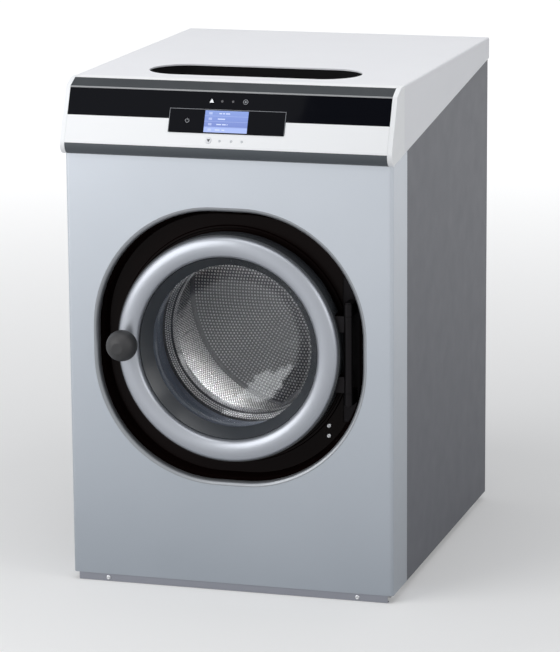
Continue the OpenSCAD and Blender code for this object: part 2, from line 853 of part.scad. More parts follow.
// Dark door body: a cone inside the ring, a skirt behind it, and the flange that carries ring,
// glass and hinge
module door_bezel() {
    y0 = ring_back_y + seat_c;
    cone = [[bezel_ri, bezel_y], [ring_ri - seat_c, ring_back_y - 3]];
    cone_run = (cone[1][0] - cone[0][0]) / (cone[1][1] - cone[0][1]);
    flange_ri = cone[0][0] + (y0 + bezel_plate_t - cone[0][1]) * cone_run - 0.6;
    strap_z = (hinge_h - lug_h - 2 * free_c - strap_h) / 2;
    color([0.2, 0.21, 0.23]) difference() {
        union() {
            turned() polygon(thick(cone, -3));
            turned() translate([flange_ri, y0]) square([skirt_ro - flange_ri, bezel_plate_t]);
            turned() translate([bezel_ri + glass_flange + 4, y0]) square([4, clamp_y - y0]);
            turned() translate([skirt_ro - skirt_t, ring_y + 2]) square([skirt_t, skirt_back_y - ring_y - 2]);
        }
        pin_y(knob_x, knob_z, y0 - eps, y0 + bezel_plate_t + eps, spindle_d + free_c);
        for (s = [-1, 1])
            translate([ring_mid, y0 + bezel_plate_t, door_z + s * strap_z - strap_h / 2 - free_c])
                cube([hinge_x - ring_mid, skirt_back_y - y0, strap_h + 2 * free_c]);
    }
}

module glass_seal() {
    ro = bezel_ri + glass_flange + 3.4;
    y0 = bezel_y + 0.3;
    color([0.3, 0.33, 0.38]) turned() difference() {
        translate([bezel_ri + 2, y0]) square([ro - bezel_ri - 2, clamp_y - seat_c - y0]);
        translate([bezel_ri - 2, glass_y - 0.1]) square([glass_flange + 2.2, glass_t + 0.2]);
    }
}

// Deep glass bowl that holds the laundry back from the door
module door_glass() {
    r = bezel_ri - 4;
    bowl = [for (k = [0:16]) let (a = 90 * k / 16)
        [r * pow(cos(a), 0.55), glass_y + glass_t + bowl_d * sin(a)]];
    inner = [for (k = [16:-1:0]) let (a = 90 * k / 16)
        [(r - glass_t) * pow(cos(a), 0.55), glass_y + glass_t + (bowl_d - glass_t) * sin(a)]];
    color([0.75, 0.85, 0.9, 0.5]) turned() polygon(concat(
        [[r - glass_t, glass_y], [bezel_ri + glass_flange, glass_y],
            [bezel_ri + glass_flange, glass_y + glass_t]],
        bowl, inner
    ));
}

// Steel ring that clamps glass and seal against the bezel
module clamp_ring() {
    color("silver") turned() difference() {
        translate([bezel_ri + 3, clamp_y]) square([glass_flange + 6, clamp_t]);
        translate([bezel_ri + 2, clamp_y + 2]) square([5, clamp_t]);
    }
}

// Ball knob with a flattened face
module door_knob() {
    r = knob_d / 2;
    back = knob_back_y - knob_y;
    a0 = -knob_flat;
    a1 = asin(back / r);
    ball = [for (k = [0:24]) let (a = a0 + (a1 - a0) * k / 24) [r * cos(a), knob_y + r * sin(a)]];
    bore = spindle_d / 2 + run_c;
    color([0.2, 0.2, 0.2]) translate([knob_x, 0, 0]) turned(knob_z) polygon(concat(
        [[0, knob_y], [0, ball[0][1]]], ball, [[bore, knob_back_y], [bore, knob_y]]
    ));
}

// Spindle from the knob through the ring, with the cam that works the latch
module latch_spindle() {
    y1 = ring_back_y + bezel_plate_t + 3 * seat_c;
    color("silver") {
        pin_y(knob_x, knob_z, knob_y + seat_c, y1 + 6, spindle_d);
        plate_y(y1, 6) translate([knob_x, knob_z]) {
            circle(r = 12);
            translate([-6, -cam_l]) square([12, cam_l]);
            translate([0, -cam_l]) circle(r = 6);
        }
    }
}

// Latch bolt on the door; it reaches through the recess into the lock
module door_latch() {
    y0 = ring_back_y + bezel_plate_t + 2 * seat_c;
    y1 = dish_y + dish_t + lock_depth - 10;
    color("silver") {
        translate([latch_x - latch_w / 2 - 3, y0, latch_z - latch_h / 2 - 4])
            cube([latch_w + 6, 4, latch_h + 8]);
        bar_x(latch_x - latch_w / 2, latch_x + latch_w / 2) polygon([
            [y0, latch_z - latch_h / 2], [y1, latch_z - latch_h / 2], [y1 + 4, latch_z - latch_h / 2 + 5],
            [y1 + 4, latch_z + latch_h / 2 - 9], [y1 - 5, latch_z + latch_h / 2], [y0, latch_z + latch_h / 2]
        ]);
    }
}

// Electric door lock behind the recess, with a mouth for the latch bolt
module door_lock() {
    y0 = dish_y + dish_t + seat_c;
    x0 = latch_x - latch_w / 2 - 35;
    color("dimgray") difference() {
        translate([x0, y0, latch_z - latch_h / 2 - 17])
            cube([latch_x + latch_w / 2 + 8 - x0, lock_depth, latch_h + 34]);
        translate([latch_x - latch_w / 2 - 5, y0 - eps, latch_z - latch_h / 2 - 4])
            cube([latch_w + 10, lock_depth - 4 + eps, latch_h + 8]);
    }
}

// Rubber throat between door and tub: a lip, two folds and a cuff on the tub's neck
module door_gasket() {
    y0 = clamp_y + clamp_t + seat_c + 0.3;
    y1 = tub_y + 4;
    l = y1 - y0;
    r = neck_ri - 6;
    inner = [[r - 7, y0], [r - 7, y0 + 5], [r - 2, y0 + 0.22 * l], [r - 4, y0 + 0.4 * l],
        [r - 1, y0 + 0.56 * l], [r - 3, y0 + 0.72 * l], [r, y0 + 0.86 * l], [r, y1]];
    color([0.36, 0.4, 0.46]) union() {
        turned() polygon(thick(inner, -gasket_t));
        turned() translate([bezel_ri + 10, y0]) square([throat_r - seat_c - bezel_ri - 10, 5]);
        turned() translate([throat_r - seat_c - 4, y0]) square([4, 14]);
    }
}

// Tub, drum and bearings

module tub() {
    color("silver") difference() {
        union() {
            turned() {
                translate([tub_ri, tub_y + seat_c]) square([tub_t, tub_back_y - tub_y]);
                translate([tub_ro - 1, tub_y + seat_c]) square([13, 4]);
                translate([hub_r, tub_back_y]) square([tub_ro - hub_r, tub_wall_t]);
            }
            translate([hose_x, hose_y, door_z + tub_ri - 25]) cylinder(r = hose_ri - seat_c, h = 45);
            translate([drain_x, drain_y, door_z - tub_ro - nozzle_l])
                cylinder(r = nozzle_r, h = nozzle_l + 30);
        }
        turned() translate([0, tub_y]) square([tub_ri, tub_back_y - tub_y]);
        translate([hose_x, hose_y, door_z + tub_ri - 60]) cylinder(r = hose_ri - 2, h = 120);
        translate([drain_x, drain_y, door_z - tub_ro - nozzle_l - eps]) cylinder(r = nozzle_r - 3, h = 80);
        for (a = heater_angles)
            heater_place(a) pin_y(0, 0, tub_back_y - eps, tub_back_y + 30, heater_d + free_c);
    }
}

// Front plate of the tub with the neck that carries the gasket
module tub_front() {
    color("silver") difference() {
        turned() {
            translate([neck_ri, tub_y - 3]) square([tub_ro + 12 - neck_ri, 3]);
            translate([neck_ri, tub_y - 20]) square([2.5, 20]);
            translate([tub_ri + 2 * tub_t + 6, tub_y - 6]) square([4, 4]);
        }
        for (k = [0:11]) translate([0, 0, door_z]) rotate([0, 30 * k + 15, 0])
            pin_y(tub_ro + 5, 0, tub_y - 4, tub_y + eps, 6);
    }
}

// Two saddle plates that bolt the tub to the base frame
module tub_supports() {
    z0 = plinth_h + tube_w + seat_c;
    half = frame_x - tube_w / 2 - seat_c;
    top = door_z - saddle_drop;
    color("slategray") for (y = saddle_y) difference() {
        union() {
            plate_y(y - saddle_t / 2, saddle_t) translate([-half, z0]) square([2 * half, top - z0]);
            translate([-half, y - saddle_foot / 2, z0]) cube([2 * half, saddle_foot, saddle_t]);
        }
        plate_y(y - saddle_foot / 2 - eps, saddle_foot + 2 * eps) {
            translate([0, door_z]) circle(r = tub_ro + seat_c);
            for (sx = [-1, 1], hole = saddle_holes) translate([sx * hole[0], hole[1]]) circle(r = hole[2]);
        }
    }
}

// Drum sheet: mouth lip, front shoulder, cage and rear plate
module drum() {
    path = [
        [mouth_r, mouth_y + 47], [mouth_r, mouth_y + 20], [mouth_r + 3, mouth_y + 10],
        [mouth_r + 11, mouth_y + 1.5], [mouth_r + 20, mouth_y], [drum_r - 25, mouth_y + 9],
        [drum_r - 9, mouth_y + 15], [drum_r, drum_y],
        [drum_r, drum_back_y - 6], [drum_r - 5, drum_back_y], [0, drum_back_y]
    ];
    color("silver") turned() polygon(thick(path, drum_t));
}

// Ribs that lift the laundry, riveted inside the cage
module drum_lifters() {
    r = drum_r - drum_t - seat_c;
    y0 = drum_y + 18;
    l = drum_d - 40;
    color("lightgray") for (k = [0:lifters - 1])
        translate([0, 0, door_z]) rotate([0, 90 + 360 * k / lifters, 0]) intersection() {
            translate([0, y0, 0]) rotate([-90, 0, 0]) linear_extrude(l) lifter_section(r);
            translate([0, y0 - eps, 0]) rotate([-90, 0, 0]) cylinder(r = r, h = l + 2 * eps, $fn = 180);
        }
}

module lifter_section(r) {
    difference() {
        union() {
            polygon([
                [r + 5, -40], [r - 8, -36], [r - lifter_h + 12, -13],
                [r - lifter_h + 12, 13], [r - 8, 36], [r + 5, 40]
            ]);
            translate([r - lifter_h + 12.2, 0]) circle(r = 12.8);
        }
        polygon([[r + 6, -32], [r - lifter_h + 14, -9], [r - lifter_h + 14, 9], [r + 6, 32]]);
    }
}

// Three-armed casting behind the drum
module drum_spider() {
    y0 = drum_back_y + seat_c;
    color("gray") difference() {
        translate([0, 0, door_z]) {
            plate_y(y0, 12) for (k = [0:2]) rotate(120 * k + 30) polygon([
                [0, -34], [drum_r - 45, -16], [drum_r - 12, -26],
                [drum_r - 12, 26], [drum_r - 45, 16], [0, 34]
            ]);
            plate_y(y0 + 11, 12) for (k = [0:2]) rotate(120 * k + 30)
                polygon([[0, -8], [drum_r - 80, -5], [drum_r - 80, 5], [0, 8]]);
            plate_y(y0, spider_hub_l) circle(r = shaft_d / 2 + 20);
        }
        pin_y(0, door_z, y0 + 6, y0 + 80, shaft_d + 2 * run_c);
    }
}

module drum_shaft() {
    y1 = pulley_y + pulley_t + 16;
    color("silver") {
        pin_y(0, door_z, shaft_front_y, pulley_y + pulley_t + 3, shaft_d);
        pin_y(0, door_z, pulley_y + pulley_t + 2, y1, 20);
        plate_y(pulley_y + pulley_t + seat_c, 10) translate([0, door_z]) circle(r = 17, $fn = 6);
    }
}

module shaft_seal() {
    y0 = tub_back_y - 6;
    color("black") turned() {
        translate([hub_r - 6, y0]) square([5.7, 10]);
        translate([shaft_d / 2 + seat_c, y0 + 3]) square([hub_r - 6 - shaft_d / 2, 4]);
    }
}

// Cast housing bolted to the tub's rear wall, bored for two bearings
module bearing_housing() {
    y0 = tub_back_y + tub_wall_t + seat_c;
    color("dimgray") turned() difference() {
        union() {
            translate([0, y0]) square([housing_r, housing_l]);
            translate([0, y0]) square([flange_r, flange_t]);
            polygon([
                [housing_r - 1, y0 + flange_t - 1], [housing_r + flange_cone_w, y0 + flange_t - 1],
                [housing_r - 1, y0 + flange_cone_l]
            ]);
        }
        translate([0, y0 - eps]) square([shaft_d / 2 + 4, housing_l + 2 * eps]);
        translate([0, y0 + 6]) square([bearing_r, bearing_w + 2]);
        translate([0, y0 + housing_l - bearing_w - 8]) square([bearing_r, bearing_w + 8 + eps]);
    }
}

module shaft_bearings() {
    y0 = tub_back_y + tub_wall_t + seat_c;
    color("lightgray") turned() for (y = [y0 + 7, y0 + housing_l - bearing_w - 7]) {
        translate([shaft_d / 2 + run_c, y]) square([5, bearing_w]);
        translate([bearing_r - 5 - run_c, y]) square([5, bearing_w]);
        translate([shaft_d / 2 + 4, y + 3]) square([bearing_r - shaft_d / 2 - 8, bearing_w - 6]);
    }
}

// Belt pulley on the shaft: grooved rim, pierced web and hub
module drum_pulley() {
    color("gray") difference() {
        turned() difference() {
            union() {
                translate([pulley_r - 9, pulley_y]) square([9, pulley_t]);
                translate([shaft_d / 2 + run_c, pulley_y + pulley_t / 2 - 3])
                    square([pulley_r - shaft_d / 2 - 5, 6]);
                translate([shaft_d / 2 + run_c, pulley_y]) square([16, pulley_t]);
            }
            grooves(pulley_r);
        }
        for (k = [0:4]) translate([0, 0, door_z]) rotate([0, 72 * k, 0])
            pin_y(pulley_r * 0.56, 0, pulley_y - eps, pulley_y + pulley_t + eps, pulley_r * 0.42);
    }
}

// Grooves round a pulley's rim, under the belt
module grooves(r) {
    n = 5;
    pitch = belt_w / n;
    for (k = [0:n - 1]) translate([r, pulley_y + pulley_t / 2 + (k - (n - 1) / 2) * pitch])
        polygon([[-1.8, 0], [eps, -1.2], [eps, 1.2]]);
}

// Outline of a belt round both pulleys, standing off their rims
module belt_outline(grow) {
    r1 = pulley_r + grow;
    r2 = motor_pulley_r + grow;
    nip = 0.05;
    dx = motor_x;
    dz = motor_z - door_z;
    l = norm([dx, dz]);
    turn = atan2(dz, dx);
    lean = acos((r1 - r2) / l);
    translate([0, door_z]) rotate(turn) {
        circle(r = r1);
        translate([l, 0]) circle(r = r2);
        polygon([
            (r1 - nip) * [cos(lean), sin(lean)], (r1 - nip) * [cos(lean), -sin(lean)],
            [l, 0] + (r2 - nip) * [cos(lean), -sin(lean)], [l, 0] + (r2 - nip) * [cos(lean), sin(lean)]
        ]);
    }
}

module drive_belt() {
    color([0.12, 0.12, 0.12]) plate_y(pulley_y + (pulley_t - belt_w) / 2, belt_w) difference() {
        belt_outline(seat_c + belt_t);
        belt_outline(seat_c);
    }
}

// Finned motor with end bells, feet and a bore for the rotor's shaft
module motor() {
    color("darkslategray") difference() {
        union() {
            translate([motor_x, 0, 0]) turned(motor_z) difference() {
                union() {
                    translate([0, motor_y]) square([motor_r - 5, motor_l]);
                    translate([0, motor_y + 30]) square([motor_r, motor_l - 60]);
                    translate([0, motor_y + motor_l - eps]) square([26, 8 + eps]);
                }
                for (k = [0:9]) translate([motor_r - 4, motor_y + 38 + 12 * k]) square([6, 5]);
            }
            for (y = [motor_y + 24, motor_y + motor_l - 54])
                translate([motor_x - 55, y, motor_foot_z]) cube([110, 30, 24]);
            translate([motor_x - 32, motor_y + 60, motor_z + motor_r - 12]) cube([64, 70, 30]);
        }
        pin_y(motor_x, motor_z, motor_y + motor_l - 60, motor_y + motor_l + 20, motor_shaft_d + 2 * run_c);
    }
}

module motor_pulley() {
    color("gray") translate([motor_x, 0, 0]) turned(motor_z) difference() {
        union() {
            translate([0, motor_y + motor_l - 59])
                square([motor_shaft_d / 2, pulley_y - motor_y - motor_l + 70]);
            translate([0, pulley_y]) square([motor_pulley_r, pulley_t]);
        }
        grooves(motor_pulley_r);
    }
}

// Cradle on the base frame with the slots that tension the belt
module motor_bracket() {
    z0 = plinth_h + tube_w + seat_c;
    h = motor_foot_z - seat_c - z0;
    color("slategray") difference() {
        union() {
            translate([motor_x - 75, motor_y + 10, z0]) cube([150, motor_l - 40, 6]);
            for (y = [motor_y + 24, motor_y + motor_l - 54])
                translate([motor_x - 65, y, z0]) cube([130, 30, h]);
        }
        for (sx = [-1, 1], y = [motor_y + 39, motor_y + motor_l - 39])
            translate([motor_x + sx * 44, y, z0 - eps])
                linear_extrude(h + 2 * eps) rounded_rect(22, 9, 4.4);
    }
}

// Water, drain, heat and power

// Two solenoid valves behind the rear panel, their threads reaching out of it
module water_valves() {
    y0 = rear_y - sheet_t - seat_c;
    color("white") for (x = inlet_x) difference() {
        union() {
            pin_y(x, inlet_z, y0 - riser_in - 10, y0, 36);
            pin_y(x, inlet_z, y0 - eps, rear_y + eps, inlet_d - 4);
            pin_y(x, inlet_z, rear_y + seat_c, rear_y + rear_out, inlet_d);
            translate([x, y0 - riser_in, inlet_z]) cylinder(d = 20, h = hose_z - inlet_z + 12);
            pin_y(x, hose_z, y0 - riser_in - 20, y0 - riser_in, hose_d + 2);
            translate([x - 14, y0 - riser_in - 4, inlet_z - 44]) cube([28, 36, 40]);
        }
        pin_y(x, inlet_z, rear_y - 6, rear_y + rear_out + eps, inlet_d - 8);
    }
}

module inlet_hoses() {
    y0 = slot_y + slot_b / 2 - hopper_wall;
    y1 = rear_y - sheet_t - seat_c - riser_in - 20 - seat_c;
    color("dimgray") for (x = inlet_x) difference() {
        pin_y(x, hose_z, y0, y1, hose_d);
        pin_y(x, hose_z, y0 - eps, y1 + eps, hose_d - 5);
    }
}

// Motorised drain valve below the tub, with its outlet pipe to the rear
module drain_valve() {
    z1 = door_z - tub_ro - nozzle_l - seat_c;
    color("lightgray") difference() {
        union() {
            translate([drain_x, drain_y, drain_z - 10]) cylinder(r = nozzle_r + 6, h = z1 - drain_z + 10);
            pin_y(drain_x, drain_z, drain_y, rear_y + eps, drain_d - 6);
            pin_y(drain_x, drain_z, rear_y + seat_c, rear_y + rear_out, drain_d);
            translate([drain_x - 92, drain_y - 22, drain_z + 24]) cube([70, 44, 44]);
        }
        translate([drain_x, drain_y, drain_z + 8]) cylinder(r = nozzle_r - 3, h = z1);
        pin_y(drain_x, drain_z, drain_y + 30, rear_y + rear_out + eps, drain_d - 12);
    }
}

// Places a thing in the sump between drum and tub, at an angle from straight down
module heater_place(a) {
    translate([0, 0, door_z]) rotate([0, a, 0]) translate([0, 0, -(drum_r + tub_ri) / 2]) children();
}

// Tubular heaters in the tub's sump, held through its rear wall
module heating_elements() {
    color("gray") for (a = heater_angles) heater_place(a) {
        pin_y(0, 0, tub_y + 60, tub_back_y + tub_wall_t + 20, heater_d);
        pin_y(0, 0, tub_back_y + tub_wall_t + seat_c, tub_back_y + tub_wall_t + 8, heater_d + 12);
    }
}

// Cable gland for the mains lead, its bore open to the rear
module cable_gland() {
    y0 = rear_y - sheet_t;
    color("dimgray") difference() {
        union() {
            pin_y(gland_x, gland_z, y0 - 14, rear_y + 1, gland_hole_d + 12);
            plate_y(y0 - 8, 8 - seat_c) translate([gland_x, gland_z]) circle(d = gland_hole_d + 22, $fn = 6);
            plate_y(rear_y + seat_c, 7) translate([gland_x, gland_z]) circle(d = gland_hole_d + 20, $fn = 6);
            pin_y(gland_x, gland_z, rear_y + 6, rear_y + rear_out - 4, gland_hole_d + 8);
        }
        pin_y(gland_x, gland_z, y0 - 20, rear_y + rear_out, gland_hole_d);
    }
}

// Frequency drive for the motor, in a finned case on the rear rail
module motor_drive() {
    y1 = frame_y[1] - tube_w / 2 - seat_c;
    z0 = post_top_z - drive_h;
    color("darkgray") {
        translate([drive_x, y1 - drive_d, z0]) cube([drive_w, drive_d, drive_h]);
        for (k = [0:8])
            translate([drive_x + 6 + k * (drive_w - 16) / 8, y1 - drive_d - drive_fin, z0 + 8])
                cube([4, drive_fin + eps, drive_h - 16]);
    }
}

base_frame();
anchor_feet();
plinth();
front_panel();
recess_trim();
left_side_panel();
right_side_panel();
rear_panel();
rear_cover();
panel_screws();
top_cover();
control_fascia();
fascia_strip();
left_end_cap();
right_end_cap();
display_bezel();
display_screen();
control_board();
key_up();
key_stop();
key_start();
key_down();
status_lights();
soap_hopper();
hopper_hose();
door_surround();
hinge_plate();
hinge_pin();
hinge_arm();
door_ring();
door_bezel();
glass_seal();
door_glass();
clamp_ring();
door_knob();
latch_spindle();
door_latch();
door_lock();
door_gasket();
tub();
tub_front();
tub_supports();
drum();
drum_lifters();
drum_spider();
drum_shaft();
shaft_seal();
bearing_housing();
shaft_bearings();
drum_pulley();
drive_belt();
motor();
motor_pulley();
motor_bracket();
water_valves();
inlet_hoses();
drain_valve();
heating_elements();
cable_gland();
motor_drive();
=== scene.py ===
"""Looks of a front-loading washer-extractor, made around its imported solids."""

import math

import bmesh
import bpy
from bpy.props import FloatProperty, FloatVectorProperty, PointerProperty
from mathutils import Matrix, Vector


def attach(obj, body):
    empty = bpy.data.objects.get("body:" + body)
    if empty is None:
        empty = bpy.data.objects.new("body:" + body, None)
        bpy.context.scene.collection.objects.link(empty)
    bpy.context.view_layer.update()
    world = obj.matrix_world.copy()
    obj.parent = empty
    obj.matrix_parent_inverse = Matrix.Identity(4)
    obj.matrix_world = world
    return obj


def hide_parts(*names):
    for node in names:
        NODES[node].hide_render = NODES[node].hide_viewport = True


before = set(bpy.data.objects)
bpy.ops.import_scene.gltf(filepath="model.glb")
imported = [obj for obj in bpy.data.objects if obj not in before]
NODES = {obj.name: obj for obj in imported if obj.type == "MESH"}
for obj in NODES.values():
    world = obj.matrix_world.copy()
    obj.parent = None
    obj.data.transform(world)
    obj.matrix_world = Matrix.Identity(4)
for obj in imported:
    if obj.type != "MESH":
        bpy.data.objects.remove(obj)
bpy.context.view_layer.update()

bl_info = {
    "name": "Washer-extractor",
    "version": (1, 0, 0),
    "blender": (4, 5, 0),
    "location": "3D View > Sidebar > Washer",
    "description": "Finishes a washer-extractor and sets it on a pale studio floor",
    "category": "Object",
}

# The machine's main places, in metres
DOOR_Z = 0.530
FACE_LEAN = math.radians(22.5)
FACE_FOOT = Vector((0.0, -0.448325, 0.960419))
FACE_UP = Vector((0.0, math.sin(FACE_LEAN), math.cos(FACE_LEAN)))
FACE_OUT = Vector((0.0, -math.cos(FACE_LEAN), math.sin(FACE_LEAN)))
DRUM_FRONT, DRUM_BACK = -0.255, 0.130
DRUM_R = 0.2635

# Heights on the nose: its grey brow, the top of the painted highlight along its lower edge, the
# grey underside, and the line that parts the black strip's lamps from those on the white face
BROW_LOW, BROW_HIGHLIGHT_TOP, BROW_HIGH = 1.0662, 1.0692, 1.0828
UNDERSIDE_Z = 0.9560
STRIP_Z = 1.0

# Heights of the three rows of controls, and the controls' middles as X and height
STRIP_ROW, SCREEN_ROW, FOOT_ROW = 1.0485, 1.0085, 0.9710
DISPLAY, SCREEN = (0.0018, SCREEN_ROW), (0.0002, SCREEN_ROW)
KEY_UP, KEY_STOP = (-0.0350, STRIP_ROW), (0.0380, STRIP_ROW)
KEY_START, KEY_DOWN = (-0.0840, SCREEN_ROW), (-0.0336, FOOT_ROW)
DOTS = (-0.0127, STRIP_ROW), (0.0108, STRIP_ROW)
FAINT_SIGNS = (-0.010, FOOT_ROW), (0.015, FOOT_ROW), (0.038, FOOT_ROW)
KEY_TOP, LENS_TOP = 0.0009, 0.0003
INK = 0.00012

# The lit picture: half its size, its rows of cells and the cells in a row, how it stands on the
# face, and as shares of a row or of the width where the cells, the signs and the dividers lie
PICTURE_W, PICTURE_H = 0.0467, 0.0232
PICTURE_ROWS, PICTURE_CELLS = 4, 46
PICTURE_LIFT, PICTURE_THICK = 0.00082, 0.0001
CELLS_TALL, CELLS_LEFT, CELLS_RIGHT, CELLS_VARY, CELLS_DARK = (0.40, 0.60), 0.26, 0.42, 0.22, 0.28
SIGN_TALL, SIGN_WIDE, DIVIDER = (0.30, 0.72), (0.09, 0.17), 0.06
PICTURE_BLUES = [
    (0.0, (0.36, 0.47, 0.86)), (0.22, (0.34, 0.46, 0.86)), (0.27, (0.10, 0.17, 0.52)),
    (0.60, (0.13, 0.22, 0.60)), (1.0, (0.17, 0.28, 0.66))]

# The fine frame round the display: half its size, its line, and how it stands on the face
FRAME_W, FRAME_H, FRAME_LINE = 0.1255, 0.0255, 0.0009
FRAME_LIFT, FRAME_THICK = 0.00102, 0.00015

# Screws of the plinth, of the dished surround and of the rear cover: X, depth and height of the
# first ones, and the rise to the next
PLINTH_X, PLINTH_Y, PLINTH_Z = 0.277, -0.4265, 0.0085
DISH_X, DISH_Y, DISH_Z, DISH_RISE = 0.205, -0.3840, 0.366, -0.022
COVER_X, COVER_Y, COVER_Z, COVER_RISE = 0.218, 0.4298, 0.350, 0.210

# A pan head as rings of radius and height, the last ones its six-sided socket
PAN_HEAD = [
    (0.0050, 0.0), (0.0050, 0.0007), (0.0046, 0.0015), (0.0036, 0.0022), (0.0026, 0.0024),
    (0.0017, 0.0023, True), (0.0016, 0.0010, True), (0, 0.0008)]

# The drum's perforations: the shares of a hole's size that its bead and its dark middle, a disc of
# painted shade, take, the rows' first places, and the rows on the lip's cone and in the mouth
BEAD_FOOT, BEAD_TOP, HOLE_SHADE_SHARE, HOLE_LIFT = 0.76, 0.54, 0.30, 0.00003
BEAD_SIDES = 5
CAGE_START, CAGE_SPARE, PLATE_SPARE, PLATE_LIFT = 0.008, 0.012, 0.010, 0.0015
LIP_R, LIP_Y, LIP_ROWS, LIP_STEP, LIP_SLOPE = 0.1880, -0.2794, 3, 0.0036, 0.94
MOUTH_R, MOUTH_Y, MOUTH_ROWS, MOUTH_SHARE = 0.178, -0.2600, 5, 0.75

# Added before a number is rounded down, so that a whole one stays whole
TINY = 0.0001

# The camera, as fitted to the photograph: degrees, metres and pixels
CAMERA_TURN, CAMERA_TILT, CAMERA_ROLL = 16.571, 12.585, -0.45
CAMERA_AWAY = 7.243832
CAMERA_AIM = Vector((0, 0, 0.560))
CAMERA_RIGHT, CAMERA_UP = -0.014375, -0.072702
SENSOR, FOCAL_PIXELS, VIEW_PIXELS = 36, 3274.862, 652

# The floor: it glows least under the machine and more from NEAR outwards
FLOOR_SIZE = 40
FLOOR_NEAR, FLOOR_SLOPE, FLOOR_GAIN, FLOOR_GLOW = 0.9, 0.22, 0.6, 0.24

# Rays that meet the bright backdrop, besides the light that falls on the machine
RAYS = "Is Camera Ray", "Is Glossy Ray", "Is Transmission Ray"
SKY_TINT, SHOWN_TINT = (0.93, 0.96, 1.0), (1.0, 1.0, 1.0)

# Lamps: place, what they are aimed at, and size
LAMPS = {
    "key": ((-2.1, -2.5, 2.0), (0, -0.3, 0.80), (2.8, 2.8)),
    "top": ((0.2, -0.4, 4.2), (0, 0, 1.0), (3.0, 3.0)),
    "side": ((4.0, -1.6, 2.2), (0.2, -0.1, 0.6), (1.8, 2.2)),
    "inside": ((-0.11, -0.195, 0.69), (0.02, 0.06, 0.36), (0.20, 0.15)),
}
INSIDE_SPREAD = 118.0


# Shader maths

class Value:
    """A number or shader socket that takes part in plain arithmetic."""

    def __init__(self, shader, socket):
        self.shader, self.socket = shader, socket

    def _with(self, operation, *others, swap=False):
        terms = [self, *others]
        if swap:
            terms.reverse()
        return self.shader.node("ShaderNodeMath", {"operation": operation}, *terms)

    def __add__(self, other):
        return self._with("ADD", other)

    __radd__ = __add__

    def __mul__(self, other):
        return self._with("MULTIPLY", other)

    __rmul__ = __mul__

    def __sub__(self, other):
        return self._with("SUBTRACT", other)

    def __rsub__(self, other):
        return self._with("SUBTRACT", other, swap=True)

    def __truediv__(self, other):
        return self._with("DIVIDE", other)

    def __lt__(self, other):
        return self._with("LESS_THAN", other)

    def __gt__(self, other):
        return self._with("GREATER_THAN", other)

    def between(self, low, high):
        return (self > low) * (self < high)

    def wrapped(self):
        return self._with("FRACT")

    def root(self):
        return self._with("SQRT")

    def floor(self):
        return self._with("FLOOR")

    def cosine(self):
        return self._with("COSINE")

    def sine(self):
        return self._with("SINE")

    def clamped(self):
        return self.shader.node("ShaderNodeClamp", {}, self)


class Tree:
    """Makes and links nodes, in a material or in a pattern."""

    tree = None

    def plug(self, socket, value):
        if isinstance(value, Value):
            self.tree.links.new(value.socket, socket)
        elif hasattr(value, "__len__") and len(value) == 3 and socket.type == "RGBA":
            socket.default_value = (*value, 1.0)
        else:
            socket.default_value = value

    def node(self, kind, settings, *values, output=0, **named):
        made = self.tree.nodes.new(kind)
        for key, value in settings.items():
            if key == "stops":
                self.fill_ramp(made.color_ramp, value)
            else:
                setattr(made, key, value)
        for socket, value in zip(made.inputs, values):
            if value is not None:
                self.plug(socket, value)
        for key, value in named.items():
            self.plug(made.inputs[key.replace("_", " ")], value)
        return Value(self, made.outputs[output])

    def fill_ramp(self, ramp, stops):
        while len(ramp.elements) < len(stops):
            ramp.elements.new(0.5)
        for element, (place, shade) in zip(ramp.elements, stops):
            element.position = place
            element.color = (*shade, 1.0)


class Finish(Tree):
    """A material under construction: one principled surface and the nodes that feed it."""

    def __init__(self, name, colour, rough, metal=0.0, **fixed):
        self.material = bpy.data.materials.new(name)
        self.material.use_nodes = True
        self.tree = self.material.node_tree
        self.tree.nodes.clear()
        out = self.tree.nodes.new("ShaderNodeOutputMaterial")
        self.skin = self.tree.nodes.new("ShaderNodeBsdfPrincipled")
        self.tree.links.new(self.skin.outputs[0], out.inputs["Surface"])
        self.set("Base Color", colour)
        self.set("Roughness", rough)
        self.set("Metallic", metal)
        for socket, value in fixed.items():
            self.set(socket.replace("_", " "), value)
        self.colour, self.rough = colour, rough

    def set(self, name, value):
        self.plug(self.skin.inputs[name], value)

    def place(self, axis=None):
        """Where a point lies on the piece, or only its X, Y or Z."""
        where = self.node("ShaderNodeTexCoord", {}, output="Object")
        if axis is None:
            return where
        return self.node("ShaderNodeSeparateXYZ", {}, where, output=axis)

    def stretched(self, scale):
        return self.node("ShaderNodeMapping", {}, self.place(), Scale=scale)

    def noise(self, scale, detail, where=None):
        where = where or self.place()
        return self.node("ShaderNodeTexNoise", {}, Vector=where, Scale=scale, Detail=detail)

    def ramp(self, value, *stops):
        return self.node("ShaderNodeValToRGB", {"stops": stops}, value)

    def mixed(self, share, a, b):
        made = self.tree.nodes.new("ShaderNodeMix")
        made.data_type = "RGBA"
        self.plug(made.inputs["Factor"], share)
        self.plug(made.inputs[6], a)
        self.plug(made.inputs[7], b)
        return Value(self, made.outputs[2])

    def vary_colour(self, value, amount):
        dark = tuple(c * (1 - amount) for c in self.colour)
        light = tuple(min(1.0, c * (1 + amount)) for c in self.colour)
        self.set("Base Color", self.mixed(value, dark, light))

    def vary_rough(self, value, amount):
        self.set("Roughness", (value - 0.5) * (2 * amount) + self.rough)

    def bump(self, height, distance):
        self.set("Normal", self.node("ShaderNodeBump", {}, Distance=distance, Height=height))

    def textured(self, gloss, skin, clouds=None):
        """Uneven gloss, a bumpy skin and perhaps clouds, each a scale, a detail and an amount."""
        if clouds:
            self.vary_colour(self.noise(*clouds[:2]), clouds[2])
        self.vary_rough(self.noise(*gloss[:2]), gloss[2])
        self.bump(self.noise(*skin[:2]), skin[2])
        return self.material


